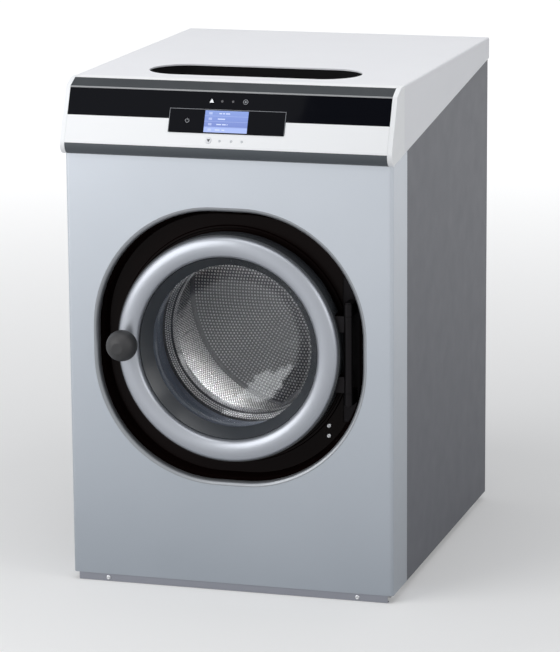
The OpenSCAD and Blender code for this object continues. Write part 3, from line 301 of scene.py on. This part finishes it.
def sprayed(name, colour, rough, metal=0.0, peel=0.00006):
    """Paint: a fine orange peel, faint clouds of shade and a little uneven gloss."""
    f = Finish(name, colour, rough, metal)
    return f.textured((17.0, 3, 0.05), (520.0, 1, peel), (3.1, 3, 0.025))


def front_with_painted_shade(name):
    """The front's metallic paint, with painted shade: darker towards the bottom and lighter towards
    the top.
    """
    f = Finish(name, (0.50, 0.535, 0.58), 0.36, 0.55)
    # Painted shade: the colour runs from dark at the bottom to light at the top, with random clouds
    # of tone
    share = (f.place("Z") * 1.1 + f.noise(1.6, 2) * 0.5 - 0.3).clamped()
    f.set("Base Color", f.mixed(share, (0.37, 0.405, 0.45), (0.58, 0.615, 0.665)))
    return f.textured((17.0, 3, 0.05), (520.0, 1, 0.00006))


def moulded(name, colour, rough, grain=1400.0, depth=0.00004, **fixed):
    """Moulded plastic with a fine spark-eroded grain."""
    f = Finish(name, colour, rough, **fixed)
    return f.textured((40.0, 3, 0.05), (grain, 2, depth), (6.0, 2, 0.04))


def glossy(name, colour, rough, **fixed):
    """Polished plastic with the faintest waviness and wipe marks."""
    f = Finish(name, colour, rough, **fixed)
    return f.textured((55.0, 4, 0.03), (24.0, 1, 0.00005), (4.0, 2, 0.08))


def brushed(name, colour, rough, grain=(40.0, 900.0, 900.0)):
    """Steel brushed along one axis, that of the lowest grain."""
    f = Finish(name, colour, rough, 1.0)
    lines = f.noise(1.0, 4, f.stretched(grain))
    f.vary_colour(lines, 0.10)
    f.vary_rough(lines, 0.10)
    f.bump(lines, 0.00003)
    return f.material


def cast(name, colour, rough, metal):
    """A casting: pebbled skin with random clouds of darker and lighter tone."""
    f = Finish(name, colour, rough, metal)
    return f.textured((90.0, 3, 0.08), (700.0, 3, 0.00015), (60.0, 4, 0.12))


def rubbery(name, colour):
    """Rubber with a dull bloom."""
    f = Finish(name, colour, 0.62)
    return f.textured((80.0, 3, 0.08), (1100.0, 2, 0.00004), (30.0, 4, 0.12))


def clear_glass(name):
    """Pressed glass: clear where it is seen square on, with a faint mirror at a shallow angle."""
    f = Finish(name, (0.90, 0.93, 0.95), 0.04, 1.0)
    mirror = f.node("ShaderNodeFresnel", {}, IOR=1.5) * 0.9 + 0.012
    f.set("Alpha", f.node("ShaderNodeMath", {"operation": "MINIMUM"}, mirror, 0.035))
    f.bump(f.noise(5.0, 1), 0.00001)
    return f.material


def nose_finish(name):
    """The white nose, grey on its brow above the strip and grey beneath, the brow's grey painted
    darker and the underside's lighter to offset the light on each, and a painted highlight low on
    the brow.
    """
    f = Finish(name, (0.92, 0.93, 0.94), 0.30, Specular_IOR_Level=0.25)
    z = f.place("Z")
    # The lowest band of the brow is a painted highlight: a lighter line along the brow's lower edge
    brow, brow_highlight = z.between(BROW_LOW, BROW_HIGH), z.between(BROW_LOW, BROW_HIGHLIGHT_TOP)
    grey = (brow - brow_highlight * 0.35 + (z < UNDERSIDE_Z)).clamped()
    white = f.mixed(f.noise(5.0, 2), (0.91, 0.92, 0.935), (0.94, 0.945, 0.955))
    # Lit and shaded copies of one grey: the brow above the strip is painted darker against the
    # strong light on it, the underside lighter against the shade it lies in
    shade = f.mixed(z > STRIP_Z, (0.080, 0.092, 0.104), (0.012, 0.018, 0.024))
    steel = f.mixed(f.noise(30.0, 3) * 0.15, shade, (0.14, 0.14, 0.14))
    f.set("Base Color", f.mixed(grey, white, steel))
    f.set("Roughness", grey * 0.10 + 0.30)
    f.bump(f.noise(1100.0, 2), 0.00002)
    return f.material


def lamp_lens(name):
    """Lamp lenses, smoked where they sit in the black strip and milky on the white face."""
    f = Finish(name, (0.02, 0.02, 0.025), 0.15)
    milky, smoked = (0.58, 0.60, 0.62), (0.018, 0.019, 0.024)
    f.set("Base Color", f.mixed(f.place("Z") > STRIP_Z, milky, smoked))
    return f.textured((55.0, 4, 0.03), (24.0, 1, 0.00005))


def paint_all():
    """One material for each finish of the machine, by name."""
    return {
        "front_paint": front_with_painted_shade("front_paint"),
        "plinth_paint": sprayed("plinth_paint", (0.295, 0.305, 0.345), 0.40, 0.50),
        "side_paint": sprayed("side_paint", (0.068, 0.073, 0.093), 0.45, 0.05),
        "hood_paint": sprayed("hood_paint", (0.84, 0.845, 0.88), 0.36),
        "nose_white": moulded("nose_white", (0.90, 0.91, 0.925), 0.32, depth=0.00002),
        "nose_banded": nose_finish("nose_banded"),
        "key_white": moulded("key_white", (0.80, 0.81, 0.84), 0.32, depth=0.00002),
        "frame_paint": sprayed("frame_paint", (0.10, 0.105, 0.11), 0.55, peel=0.0001),
        # The recess trim wears the front's paint but is given a darker colour: painted shade
        "trim_silver": sprayed("trim_silver", (0.30, 0.315, 0.335), 0.34, 0.55),
        "ring_silver": sprayed("ring_silver", (0.40, 0.42, 0.46), 0.34, 0.60),
        "strip_black": glossy(
            "strip_black", (0.002, 0.0025, 0.005), 0.05, Specular_IOR_Level=0.03),
        "dish_black": glossy(
            "dish_black", (0.0052, 0.0024, 0.0022), 0.20, Specular_IOR_Level=0.06),
        "bezel_charcoal": glossy("bezel_charcoal", (0.048, 0.053, 0.060), 0.22),
        "knob_charcoal": moulded("knob_charcoal", (0.024, 0.024, 0.026), 0.52),
        "lens_grey": lamp_lens("lens_grey"),
        "hopper_plastic": moulded(
            "hopper_plastic", (0.006, 0.006, 0.007), 0.55, Specular_IOR_Level=0.1),
        "lock_plastic": moulded("lock_plastic", (0.03, 0.03, 0.032), 0.5),
        "valve_plastic": moulded("valve_plastic", (0.62, 0.62, 0.60), 0.42),
        "board_green": moulded("board_green", (0.02, 0.10, 0.05), 0.35, grain=900.0),
        "bowl_glass": clear_glass("bowl_glass"),
        "rubber_grey": rubbery("rubber_grey", (0.15, 0.175, 0.225)),
        "rubber_black": rubbery("rubber_black", (0.015, 0.015, 0.016)),
        # The drum's sheet is painted far darker than the stainless it is made of: painted shade
        # between the bright beads
        "drum_steel": brushed("drum_steel", (0.105, 0.107, 0.115), 0.40, (300.0, 30.0, 300.0)),
        "stainless": brushed("stainless", (0.55, 0.56, 0.58), 0.26, (700.0, 30.0, 700.0)),
        "zinc_steel": brushed("zinc_steel", (0.60, 0.61, 0.63), 0.34),
        "hinge_steel": brushed("hinge_steel", (0.014, 0.013, 0.014), 0.45),
        "ground_steel": brushed("ground_steel", (0.68, 0.68, 0.70), 0.15, (900.0, 900.0, 900.0)),
        "cast_alloy": cast("cast_alloy", (0.50, 0.51, 0.53), 0.42, 0.9),
        "cast_iron": cast("cast_iron", (0.07, 0.075, 0.08), 0.55, 0.3),
    }


WORN_BY = {
    "front_paint": ["front_panel"],
    "plinth_paint": ["plinth"],
    "side_paint": ["left_side_panel", "right_side_panel", "rear_panel"],
    "hood_paint": ["top_cover"],
    "nose_white": ["left_end_cap", "right_end_cap"],
    "nose_banded": ["control_fascia"],
    "key_white": ["key_down"],
    "frame_paint": ["base_frame", "tub_supports", "motor_bracket"],
    "trim_silver": ["recess_trim"],
    "ring_silver": ["door_ring"],
    "strip_black": ["fascia_strip", "display_bezel", "display_screen",
                    "key_up", "key_stop", "key_start"],
    "dish_black": ["door_surround"],
    "bezel_charcoal": ["door_bezel"],
    "knob_charcoal": ["door_knob"],
    "lens_grey": ["status_lights"],
    "hopper_plastic": ["soap_hopper"],
    "lock_plastic": ["door_lock", "cable_gland"],
    "valve_plastic": ["water_valves", "drain_valve"],
    "board_green": ["control_board"],
    "bowl_glass": ["door_glass"],
    "rubber_grey": ["door_gasket", "glass_seal"],
    "rubber_black": ["shaft_seal", "drive_belt", "hopper_hose", "inlet_hoses"],
    "drum_steel": ["drum", "drum_lifters"],
    "stainless": ["tub", "tub_front", "heating_elements"],
    "zinc_steel": ["anchor_feet", "panel_screws", "clamp_ring", "latch_spindle", "door_latch",
                   "rear_cover"],
    "hinge_steel": ["hinge_plate", "hinge_pin", "hinge_arm"],
    "ground_steel": ["drum_shaft", "shaft_bearings"],
    "cast_alloy": ["drum_spider", "drum_pulley", "motor_pulley", "motor_drive"],
    "cast_iron": ["bearing_housing", "motor"],
}


def wear(obj, material):
    obj.data.materials.clear()
    obj.data.materials.append(material)


# Patterns: what repeats is placed by Geometry Nodes and then made a plain mesh

class Pattern(Tree):
    """Sets copies of one small mesh at places that follow from a running number."""

    def __init__(self, name, **sizes):
        self.tree = bpy.data.node_groups.new(name, "GeometryNodeTree")
        face = self.tree.interface
        face.new_socket("Geometry", in_out="OUTPUT", socket_type="NodeSocketGeometry")
        self.sizes = sizes
        for key, value in sizes.items():
            kind = "NodeSocketInt" if isinstance(value, int) else "NodeSocketFloat"
            face.new_socket(key, in_out="INPUT", socket_type=kind)
        self.entry = self.tree.nodes.new("NodeGroupInput")
        self.exit = self.tree.nodes.new("NodeGroupOutput")

    def size(self, key):
        return Value(self, self.entry.outputs[key])

    def count(self):
        return self.node("GeometryNodeInputIndex", {})

    def vector(self, x, y, z):
        return self.node("ShaderNodeCombineXYZ", {}, x, y, z)

    def build(self, count, place, facing, shape, material, body, slot):
        """Copies shape to each place, its +Z along facing, and returns a plain piece on a body."""
        points = self.node("GeometryNodeMeshLine", {}, Count=count)
        points = self.node("GeometryNodeMeshToPoints", {}, points)
        points = self.node("GeometryNodeSetPosition", {}, points, None, place)
        turn = self.node("FunctionNodeAlignRotationToVector", {"axis": "Z"}, None, None, facing)
        info = self.node("GeometryNodeObjectInfo", {}, shape, output="Geometry")
        copies = self.node("GeometryNodeInstanceOnPoints", {},
                           Points=points, Instance=info, Rotation=turn)
        solid = self.node("GeometryNodeRealizeInstances", {}, copies)
        painted = self.node("GeometryNodeSetMaterial", {}, solid, None, material)
        self.plug(self.exit.inputs["Geometry"], painted)
        return self.settle(body, slot)

    def settle(self, body, slot):
        carrier = bpy.data.objects.new(self.tree.name, bpy.data.meshes.new(self.tree.name))
        bpy.context.collection.objects.link(carrier)
        modifier = carrier.modifiers.new("pattern", "NODES")
        modifier.node_group = self.tree
        sockets = self.tree.interface.items_tree
        named = {s.name: s.identifier for s in sockets if s.in_out == "INPUT"}
        for key, value in self.sizes.items():
            modifier[named[key]] = value
        bpy.context.view_layer.update()
        seen = carrier.evaluated_get(bpy.context.evaluated_depsgraph_get())
        plain = bpy.data.meshes.new_from_object(seen)
        carrier.modifiers.clear()
        carrier.data = plain
        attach(carrier, body)
        return carrier


def stamp(name, rings, sides, smooth=False):
    """A small cap to be copied: rings of (radius, height) from the rim to the middle.

    A ring with a third value is six-sided, as wide across its flats as twice its radius.
    """
    mesh = bmesh.new()
    loops = []
    sixth = math.pi / 3
    for radius, height, *hexagon in rings:
        if radius == 0:
            loops.append([mesh.verts.new((0, 0, height))])
            continue
        loop = []
        for k in range(sides):
            a = 2 * math.pi * k / sides
            r = radius / math.cos(a % sixth - sixth / 2) if hexagon else radius
            loop.append(mesh.verts.new((r * math.cos(a), r * math.sin(a), height)))
        loops.append(loop)
    for outer, inner in zip(loops, loops[1:]):
        for k in range(sides):
            after = (k + 1) % sides
            if len(inner) == 1:
                mesh.faces.new((outer[k], outer[after], inner[0]))
            else:
                mesh.faces.new((outer[k], outer[after], inner[after], inner[k]))
    if len(loops[-1]) > 1:
        mesh.faces.new(loops[-1])
    data = bpy.data.meshes.new(name)
    mesh.to_mesh(data)
    mesh.free()
    for face in data.polygons:
        face.use_smooth = smooth
    shape = bpy.data.objects.new(name, data)
    bpy.context.collection.objects.link(shape)
    return shape


def drop(*shapes):
    """Takes away the small meshes that were copied."""
    for shape in shapes:
        bpy.data.objects.remove(shape)


# Stage

def aim_camera(camera):
    az, el, roll = (math.radians(turn) for turn in (CAMERA_TURN, CAMERA_TILT, CAMERA_ROLL))
    right = Vector((math.cos(az), math.sin(az), 0))
    back = Vector((math.sin(az) * math.cos(el), -math.cos(az) * math.cos(el), math.sin(el)))
    up = back.cross(right)
    aim = CAMERA_AIM + right * CAMERA_RIGHT + up * CAMERA_UP
    turned_right = right * math.cos(roll) + up * math.sin(roll)
    turned_up = -right * math.sin(roll) + up * math.cos(roll)
    pose = Matrix((turned_right, turned_up, back)).transposed().to_4x4()
    pose.translation = aim + back * CAMERA_AWAY
    camera.matrix_world = pose


def area_light(name, watts):
    place, aim, size = LAMPS[name]
    light = bpy.data.lights.new(name, "AREA")
    light.shape = "RECTANGLE"
    light.size, light.size_y = size
    light.energy = watts
    lamp = bpy.data.objects.new(name, light)
    bpy.context.collection.objects.link(lamp)
    lamp.location = place
    lamp.rotation_euler = (Vector(aim) - Vector(place)).to_track_quat("-Z", "Y").to_euler()
    return lamp


def bright_rays(tree):
    """One for the rays that meet the bright backdrop, and zero for the light on the machine."""
    return sum(tree.node("ShaderNodeLightPath", {}, output=ray) for ray in RAYS).clamped()


def light_sky(world, strength):
    """A soft sky that lights the machine, seen as plain white."""
    world.use_nodes = True
    sky = Tree()
    sky.tree = world.node_tree
    sky.tree.nodes.clear()
    soft = sky.node("ShaderNodeBackground", {}, Color=SKY_TINT, Strength=strength)
    shown = sky.node("ShaderNodeBackground", {}, Color=SHOWN_TINT)
    mixed = sky.node("ShaderNodeMixShader", {}, bright_rays(sky), soft, shown)
    sky.plug(sky.tree.nodes.new("ShaderNodeOutputWorld").inputs["Surface"], mixed)


class WASHER_OT_stage(bpy.types.Operator):
    """Lay the floor, light the studio and set the camera"""

    bl_idname = "washer.stage"
    bl_label = "Stage"

    def execute(self, context):
        shades = context.scene.washer_stage
        lens = bpy.data.cameras.new("camera")
        lens.lens = SENSOR * FOCAL_PIXELS / VIEW_PIXELS
        lens.clip_end = 100
        camera = bpy.data.objects.new("camera", lens)
        context.collection.objects.link(camera)
        aim_camera(camera)
        context.scene.camera = camera

        bpy.ops.mesh.primitive_plane_add(size=FLOOR_SIZE)
        floor = context.object
        floor.name = "floor"
        pale = Finish("floor_pale", tuple(shades.floor), 0.75,
                      Specular_IOR_Level=0.1, Emission_Strength=1.0)
        pale.vary_colour(pale.noise(2.0, 2), 0.004)
        reach = pale.node("ShaderNodeVectorMath", {"operation": "LENGTH"}, pale.place(), output=1)
        far = ((reach - FLOOR_NEAR) * FLOOR_SLOPE).clamped() * FLOOR_GAIN + FLOOR_GLOW
        glow = far * bright_rays(pale)
        pale.set("Emission Color", pale.node("ShaderNodeCombineColor", {}, glow, glow, glow))
        wear(floor, pale.material)

        context.scene.world = bpy.data.worlds.new("studio")
        light_sky(context.scene.world, shades.sky)
        for name in ("key", "top", "side"):
            area_light(name, getattr(shades, name))
        inside = area_light("inside", shades.inside)
        inside.visible_camera = False
        inside.data.spread = math.radians(INSIDE_SPREAD)
        context.scene.view_settings.view_transform = "Standard"
        return {"FINISHED"}


class WASHER_OT_finishes(bpy.types.Operator):
    """Give every solid of the machine its paint, metal, rubber or plastic"""

    bl_idname = "washer.finishes"
    bl_label = "Finishes"

    def execute(self, context):
        for name, material in paint_all().items():
            for node in WORN_BY[name]:
                wear(NODES[node], material)
        return {"FINISHED"}


# Marks and plates on the control face

def on_face(x, z):
    """The point of the control face at a height."""
    return Vector((x, 0, 0)) + FACE_FOOT + FACE_UP * ((z - FACE_FOOT.z) / math.cos(FACE_LEAN))


def face_plate(name, outlines, centre, lift, thick, material, body):
    """Thin plates on the control face, from outlines in face coordinates round a centre."""
    mesh = bmesh.new()
    middle = on_face(*centre) + FACE_OUT * lift
    for outline in outlines:
        low = [mesh.verts.new(middle + Vector((u, 0, 0)) + FACE_UP * v) for u, v in outline]
        high = [mesh.verts.new(v.co + FACE_OUT * thick) for v in low]
        mesh.faces.new(high)
        mesh.faces.new(low[::-1])
        for k in range(len(low)):
            after = (k + 1) % len(low)
            mesh.faces.new((low[k], low[after], high[after], high[k]))
    bmesh.ops.recalc_face_normals(mesh, faces=mesh.faces)
    data = bpy.data.meshes.new(name)
    mesh.to_mesh(data)
    mesh.free()
    piece = bpy.data.objects.new(name, data)
    bpy.context.collection.objects.link(piece)
    wear(piece, material)
    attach(piece, body)
    return piece


def circled(radius, angle):
    return radius * math.cos(angle), radius * math.sin(angle)


def band(radius, width, start=0.0, end=360.0, steps=28):
    """Outline of a part of a flat ring, as quads that share no overlap."""
    quads = []
    for k in range(steps):
        a, b = (math.radians(start + (end - start) * j / steps) for j in (k, k + 1))
        inner = radius - width
        quads.append([circled(inner, a), circled(radius, a), circled(radius, b), circled(inner, b)])
    return quads


def disc(radius, steps=24):
    return [circled(radius, 2 * math.pi * k / steps) for k in range(steps)]


def block(u0, u1, v0, v1):
    return [(u0, v0), (u1, v0), (u1, v1), (u0, v1)]


class WASHER_OT_marks(bpy.types.Operator):
    """Print the signs on the keys and the fine frame round the display"""

    bl_idname = "washer.marks"
    bl_label = "Key signs"

    def execute(self, context):
        # The white sign glows faintly though it is print and no lamp: painted light
        white = moulded("sign_white", (0.82, 0.84, 0.86), 0.4,
                        Emission_Color=(0.8, 0.84, 0.9, 1), Emission_Strength=0.25)
        grey = moulded("sign_grey", (0.24, 0.25, 0.27), 0.4)
        dark = moulded("sign_dark", (0.03, 0.03, 0.035), 0.4)
        smoke = moulded("sign_smoke", (0.07, 0.07, 0.08), 0.4)
        faint = moulded("sign_faint", (0.62, 0.64, 0.68), 0.4)

        up = [[(-0.0046, -0.0036), (0.0046, -0.0036), (0.0, 0.0048)]]
        down = [[(-0.0036, 0.0030), (0.0, -0.0038), (0.0036, 0.0030)]]
        stop = band(0.0054, 0.0011) + [block(-0.0018, 0.0018, -0.0018, 0.0018)]
        start = band(0.0046, 0.0012, -240, 60) + [block(-0.0006, 0.0006, 0.0010, 0.0052)]
        for name, outlines, place, material in (
                ("up", up, KEY_UP, white), ("down", down, KEY_DOWN, dark),
                ("stop", stop, KEY_STOP, grey), ("start", start, KEY_START, grey)):
            face_plate(f"sign_{name}", outlines, place, KEY_TOP, INK, material,
                       f"key_{name}_cap")

        for k, place in enumerate(DOTS):
            face_plate(f"dot_{k}", [disc(0.0014)], place, LENS_TOP, INK, smoke,
                       "cabinet")
        faint_signs = {
            "sign_drop": band(0.0021, 0.0007, -210, 30, 12),
            "sign_wave": band(0.0021, 0.0007, 0, 180, 10) + [
                block(-0.0021, 0.0021, -0.0016, -0.0009)],
            "sign_bars": [
                block(-0.0017, -0.0010, -0.0018, 0.0018), block(-0.0002, 0.0005, -0.0018, 0.0010),
                block(0.0012, 0.0019, -0.0018, 0.0002)],
        }
        for place, (name, outlines) in zip(FAINT_SIGNS, faint_signs.items()):
            face_plate(name, outlines, place, LENS_TOP, INK, faint, "cabinet")

        w, h, line = FRAME_W, FRAME_H, FRAME_LINE
        sides = [block(-w, w, h - line, h), block(-w, -w + line, -h, h - line),
                 block(w - line, w, -h, h - line)]
        face_plate("display_frame", sides, DISPLAY, FRAME_LIFT, FRAME_THICK, grey,
                   "cabinet")
        return {"FINISHED"}


class WASHER_OT_display(bpy.types.Operator):
    """Light the display: four plain rows of bright cells on blue"""

    bl_idname = "washer.display"
    bl_label = "Display"

    def execute(self, context):
        f = Finish("display_lit", (0.02, 0.03, 0.10), 0.12, Emission_Strength=0.9)
        rise = PICTURE_H * math.cos(FACE_LEAN)
        u = (f.place("X") - (SCREEN[0] - PICTURE_W)) / (2 * PICTURE_W)
        v = (f.place("Z") - (SCREEN[1] - rise)) / (2 * rise)
        row = (v * PICTURE_ROWS).floor()
        within = (v * PICTURE_ROWS).wrapped()
        spot = f.node("ShaderNodeCombineXYZ", {}, (u * PICTURE_CELLS).floor(), row, 0.0)
        cell = f.node("ShaderNodeTexWhiteNoise", {"noise_dimensions": "2D"}, Vector=spot)
        length = f.node("ShaderNodeTexWhiteNoise", {"noise_dimensions": "1D"}, W=row * 3.7 + 1.3)
        reach = length * CELLS_VARY + CELLS_RIGHT
        cells = within.between(*CELLS_TALL) * u.between(CELLS_LEFT, reach) * (cell > CELLS_DARK)
        sign = within.between(*SIGN_TALL) * u.between(*SIGN_WIDE) * 0.5
        lines = (within < DIVIDER) * 0.35
        base = f.ramp(v, *PICTURE_BLUES)
        glow = f.mixed((cells + sign + lines).clamped(), base, (0.62, 0.72, 0.98))
        f.set("Emission Color", glow)
        face_plate("display_glow", [block(-PICTURE_W, PICTURE_W, -PICTURE_H, PICTURE_H)], SCREEN,
                   PICTURE_LIFT, PICTURE_THICK, f.material, "cabinet")
        return {"FINISHED"}


class WASHER_OT_screws(bpy.types.Operator):
    """Drive the panel screws, each with a pan head and a six-sided socket"""

    bl_idname = "washer.screws"
    bl_label = "Screws"

    def execute(self, context):
        steel = NODES["panel_screws"].data.materials[0]
        head = stamp("screw_head", PAN_HEAD, 24, smooth=True)
        for name, count, side, depth, spread in (
                ("plinth_screws", 2, -1, PLINTH_Y, self.plinth),
                ("surround_screws", 2, -1, DISH_Y, self.surround),
                ("cover_screws", 6, 1, COVER_Y, self.cover)):
            p = Pattern(name)
            across, height = spread(p.count())
            place = p.vector(across, depth, height)
            screws = p.build(count, place, (0, side, 0), head, steel, "cabinet", "zinc_steel")
        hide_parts("panel_screws")
        drop(head)
        return {"FINISHED"}

    def plinth(self, index):
        return (index * 2 - 1) * PLINTH_X, PLINTH_Z

    def surround(self, index):
        return DISH_X, index * DISH_RISE + DISH_Z

    def cover(self, index):
        side = (index * 0.5).wrapped() * 2
        return (side * 2 - 1) * COVER_X, (index * 0.5).floor() * COVER_RISE + COVER_Z


class WASHER_OT_drum_holes(bpy.types.Operator):
    """Press the drum's perforations into its cage, rear plate, lip and mouth"""

    bl_idname = "washer.drum_holes"
    bl_label = "Drum perforations"

    def execute(self, context):
        sizes = context.scene.washer_drum
        hole, top = sizes.hole, sizes.lip
        # Each hole's middle is a near-black disc: painted shade where the hole opens onto the dark
        # behind
        hole_shade = Finish("hole_dark", (0.004, 0.004, 0.005), 0.8).material
        lip = stamp("hole_lip", [(hole * BEAD_FOOT, 0.0), (hole * BEAD_TOP, top)], BEAD_SIDES)
        dot = stamp("hole_dot", [(hole * HOLE_SHADE_SHARE, top + HOLE_LIFT)], BEAD_SIDES)
        # The pressed lips' steel is painted near white: a painted highlight on each bead
        bright = brushed("lip_steel", (0.93, 0.94, 0.97), 0.30, (300.0, 30.0, 300.0))
        for look, name in (((lip, bright), "lips"), ((dot, hole_shade), "holes")):
            self.cage(sizes.pitch, look, name)
            self.plate(sizes.pitch, look, name)
            self.mouth(sizes.pitch * MOUTH_SHARE, look, name)
        drop(lip, dot)
        return {"FINISHED"}

    def round_wall(self, name, look, radius, start, rows, step, spacing, narrow=0.0):
        """Rows round the drum's axis, each a step deeper and, on a cone, a little narrower."""
        around = int(2 * math.pi * radius / spacing)
        p = Pattern(name, around=around, radius=radius, start=start, step=step, narrow=narrow)
        index = p.count()
        row = (index / p.size("around") + TINY).floor()
        steps = index - row * p.size("around") + (row * 0.5).wrapped()
        angle = steps * (2 * math.pi) / p.size("around")
        depth = row * p.size("step")
        reach = p.size("radius") - depth * p.size("narrow")
        out_x, out_z = angle.cosine(), angle.sine()
        place = p.vector(out_x * reach, depth + p.size("start"), out_z * reach + DOOR_Z)
        inward = p.vector(out_x * -1.0, p.size("narrow") * -1.0, out_z * -1.0)
        p.build(around * rows, place, inward, *look, "drum", "stainless")

    def cage(self, pitch, look, name):
        rows = int((DRUM_BACK - DRUM_FRONT - CAGE_SPARE) / pitch)
        self.round_wall("cage_" + name, look, DRUM_R, DRUM_FRONT + CAGE_START, rows, pitch, pitch)

    def mouth(self, pitch, look, name):
        self.round_wall("lip_" + name, look, LIP_R, LIP_Y, LIP_ROWS, LIP_STEP, pitch, LIP_SLOPE)
        self.round_wall("mouth_" + name, look, MOUTH_R, MOUTH_Y, MOUTH_ROWS, pitch, pitch)

    def plate(self, pitch, look, name):
        """Rings on the rear plate, the first of six holes and each of six more than the last."""
        rings = int((DRUM_R - PLATE_SPARE) / pitch)
        p = Pattern("plate_" + name, pitch=pitch)
        index = p.count()
        ring = (((index * 12 + 9).root() + 3) / 6 + TINY).floor()
        angle = (index - ring * (ring - 1) * 3) / ring * (math.pi / 3)
        radius = ring * p.size("pitch")
        place = p.vector(angle.cosine() * radius, DRUM_BACK - PLATE_LIFT,
                         angle.sine() * radius + DOOR_Z)
        p.build(3 * rings * (rings + 1), place, (0, -1, 0), *look, "drum", "stainless")


class DrumSettings(bpy.types.PropertyGroup):
    """Sizes of the drum's perforations"""

    pitch: FloatProperty(
        name="Pitch", description="Spacing of the drum's holes",
        default=0.0070, unit="LENGTH", min=0.0065)
    hole: FloatProperty(
        name="Hole", description="Diameter of a hole in the drum",
        default=0.0028, unit="LENGTH", min=0.001)
    lip: FloatProperty(
        name="Lip", description="Height of the pressed lip round a hole",
        default=0.0006, unit="LENGTH")


class StageSettings(bpy.types.PropertyGroup):
    """Colour of the floor and strength of the lamps"""

    floor: FloatVectorProperty(
        name="Floor", description="Colour of the studio floor", subtype="COLOR",
        default=(0.64, 0.64, 0.64), min=0, max=1)
    sky: FloatProperty(
        name="Sky", description="Strength of the room's soft light", default=0.33)
    key: FloatProperty(
        name="Key", description="Main lamp", default=62.0, subtype="POWER")
    top: FloatProperty(
        name="Top", description="Lamp overhead", default=46.0, subtype="POWER")
    side: FloatProperty(
        name="Side", description="Lamp on the right", default=24.0, subtype="POWER")
    inside: FloatProperty(
        name="Inside", description="Small lamp in the drum's mouth", default=1.15,
        subtype="POWER")


class WASHER_PT_panel(bpy.types.Panel):
    """Lists what makes the machine's looks"""

    bl_label = "Washer-extractor"
    bl_idname = "WASHER_PT_panel"
    bl_space_type = "VIEW_3D"
    bl_region_type = "UI"
    bl_category = "Washer"

    def draw(self, context):
        for settings in (context.scene.washer_stage, context.scene.washer_drum):
            for key in type(settings).__annotations__:
                self.layout.prop(settings, key)
        for operator in OPERATORS:
            self.layout.operator(operator.bl_idname)


OPERATORS = [WASHER_OT_stage, WASHER_OT_finishes, WASHER_OT_marks, WASHER_OT_display,
             WASHER_OT_screws, WASHER_OT_drum_holes]
CLASSES = [StageSettings, DrumSettings, *OPERATORS, WASHER_PT_panel]


def register():
    for item in CLASSES:
        bpy.utils.register_class(item)
    bpy.types.Scene.washer_stage = PointerProperty(type=StageSettings)
    bpy.types.Scene.washer_drum = PointerProperty(type=DrumSettings)


def unregister():
    del bpy.types.Scene.washer_stage
    del bpy.types.Scene.washer_drum
    for item in reversed(CLASSES):
        bpy.utils.unregister_class(item)


def main():
    register()
    for operator in OPERATORS:
        family, action = operator.bl_idname.split(".")
        getattr(getattr(bpy.ops, family), action)()


if __name__ == "__main__":
    main()
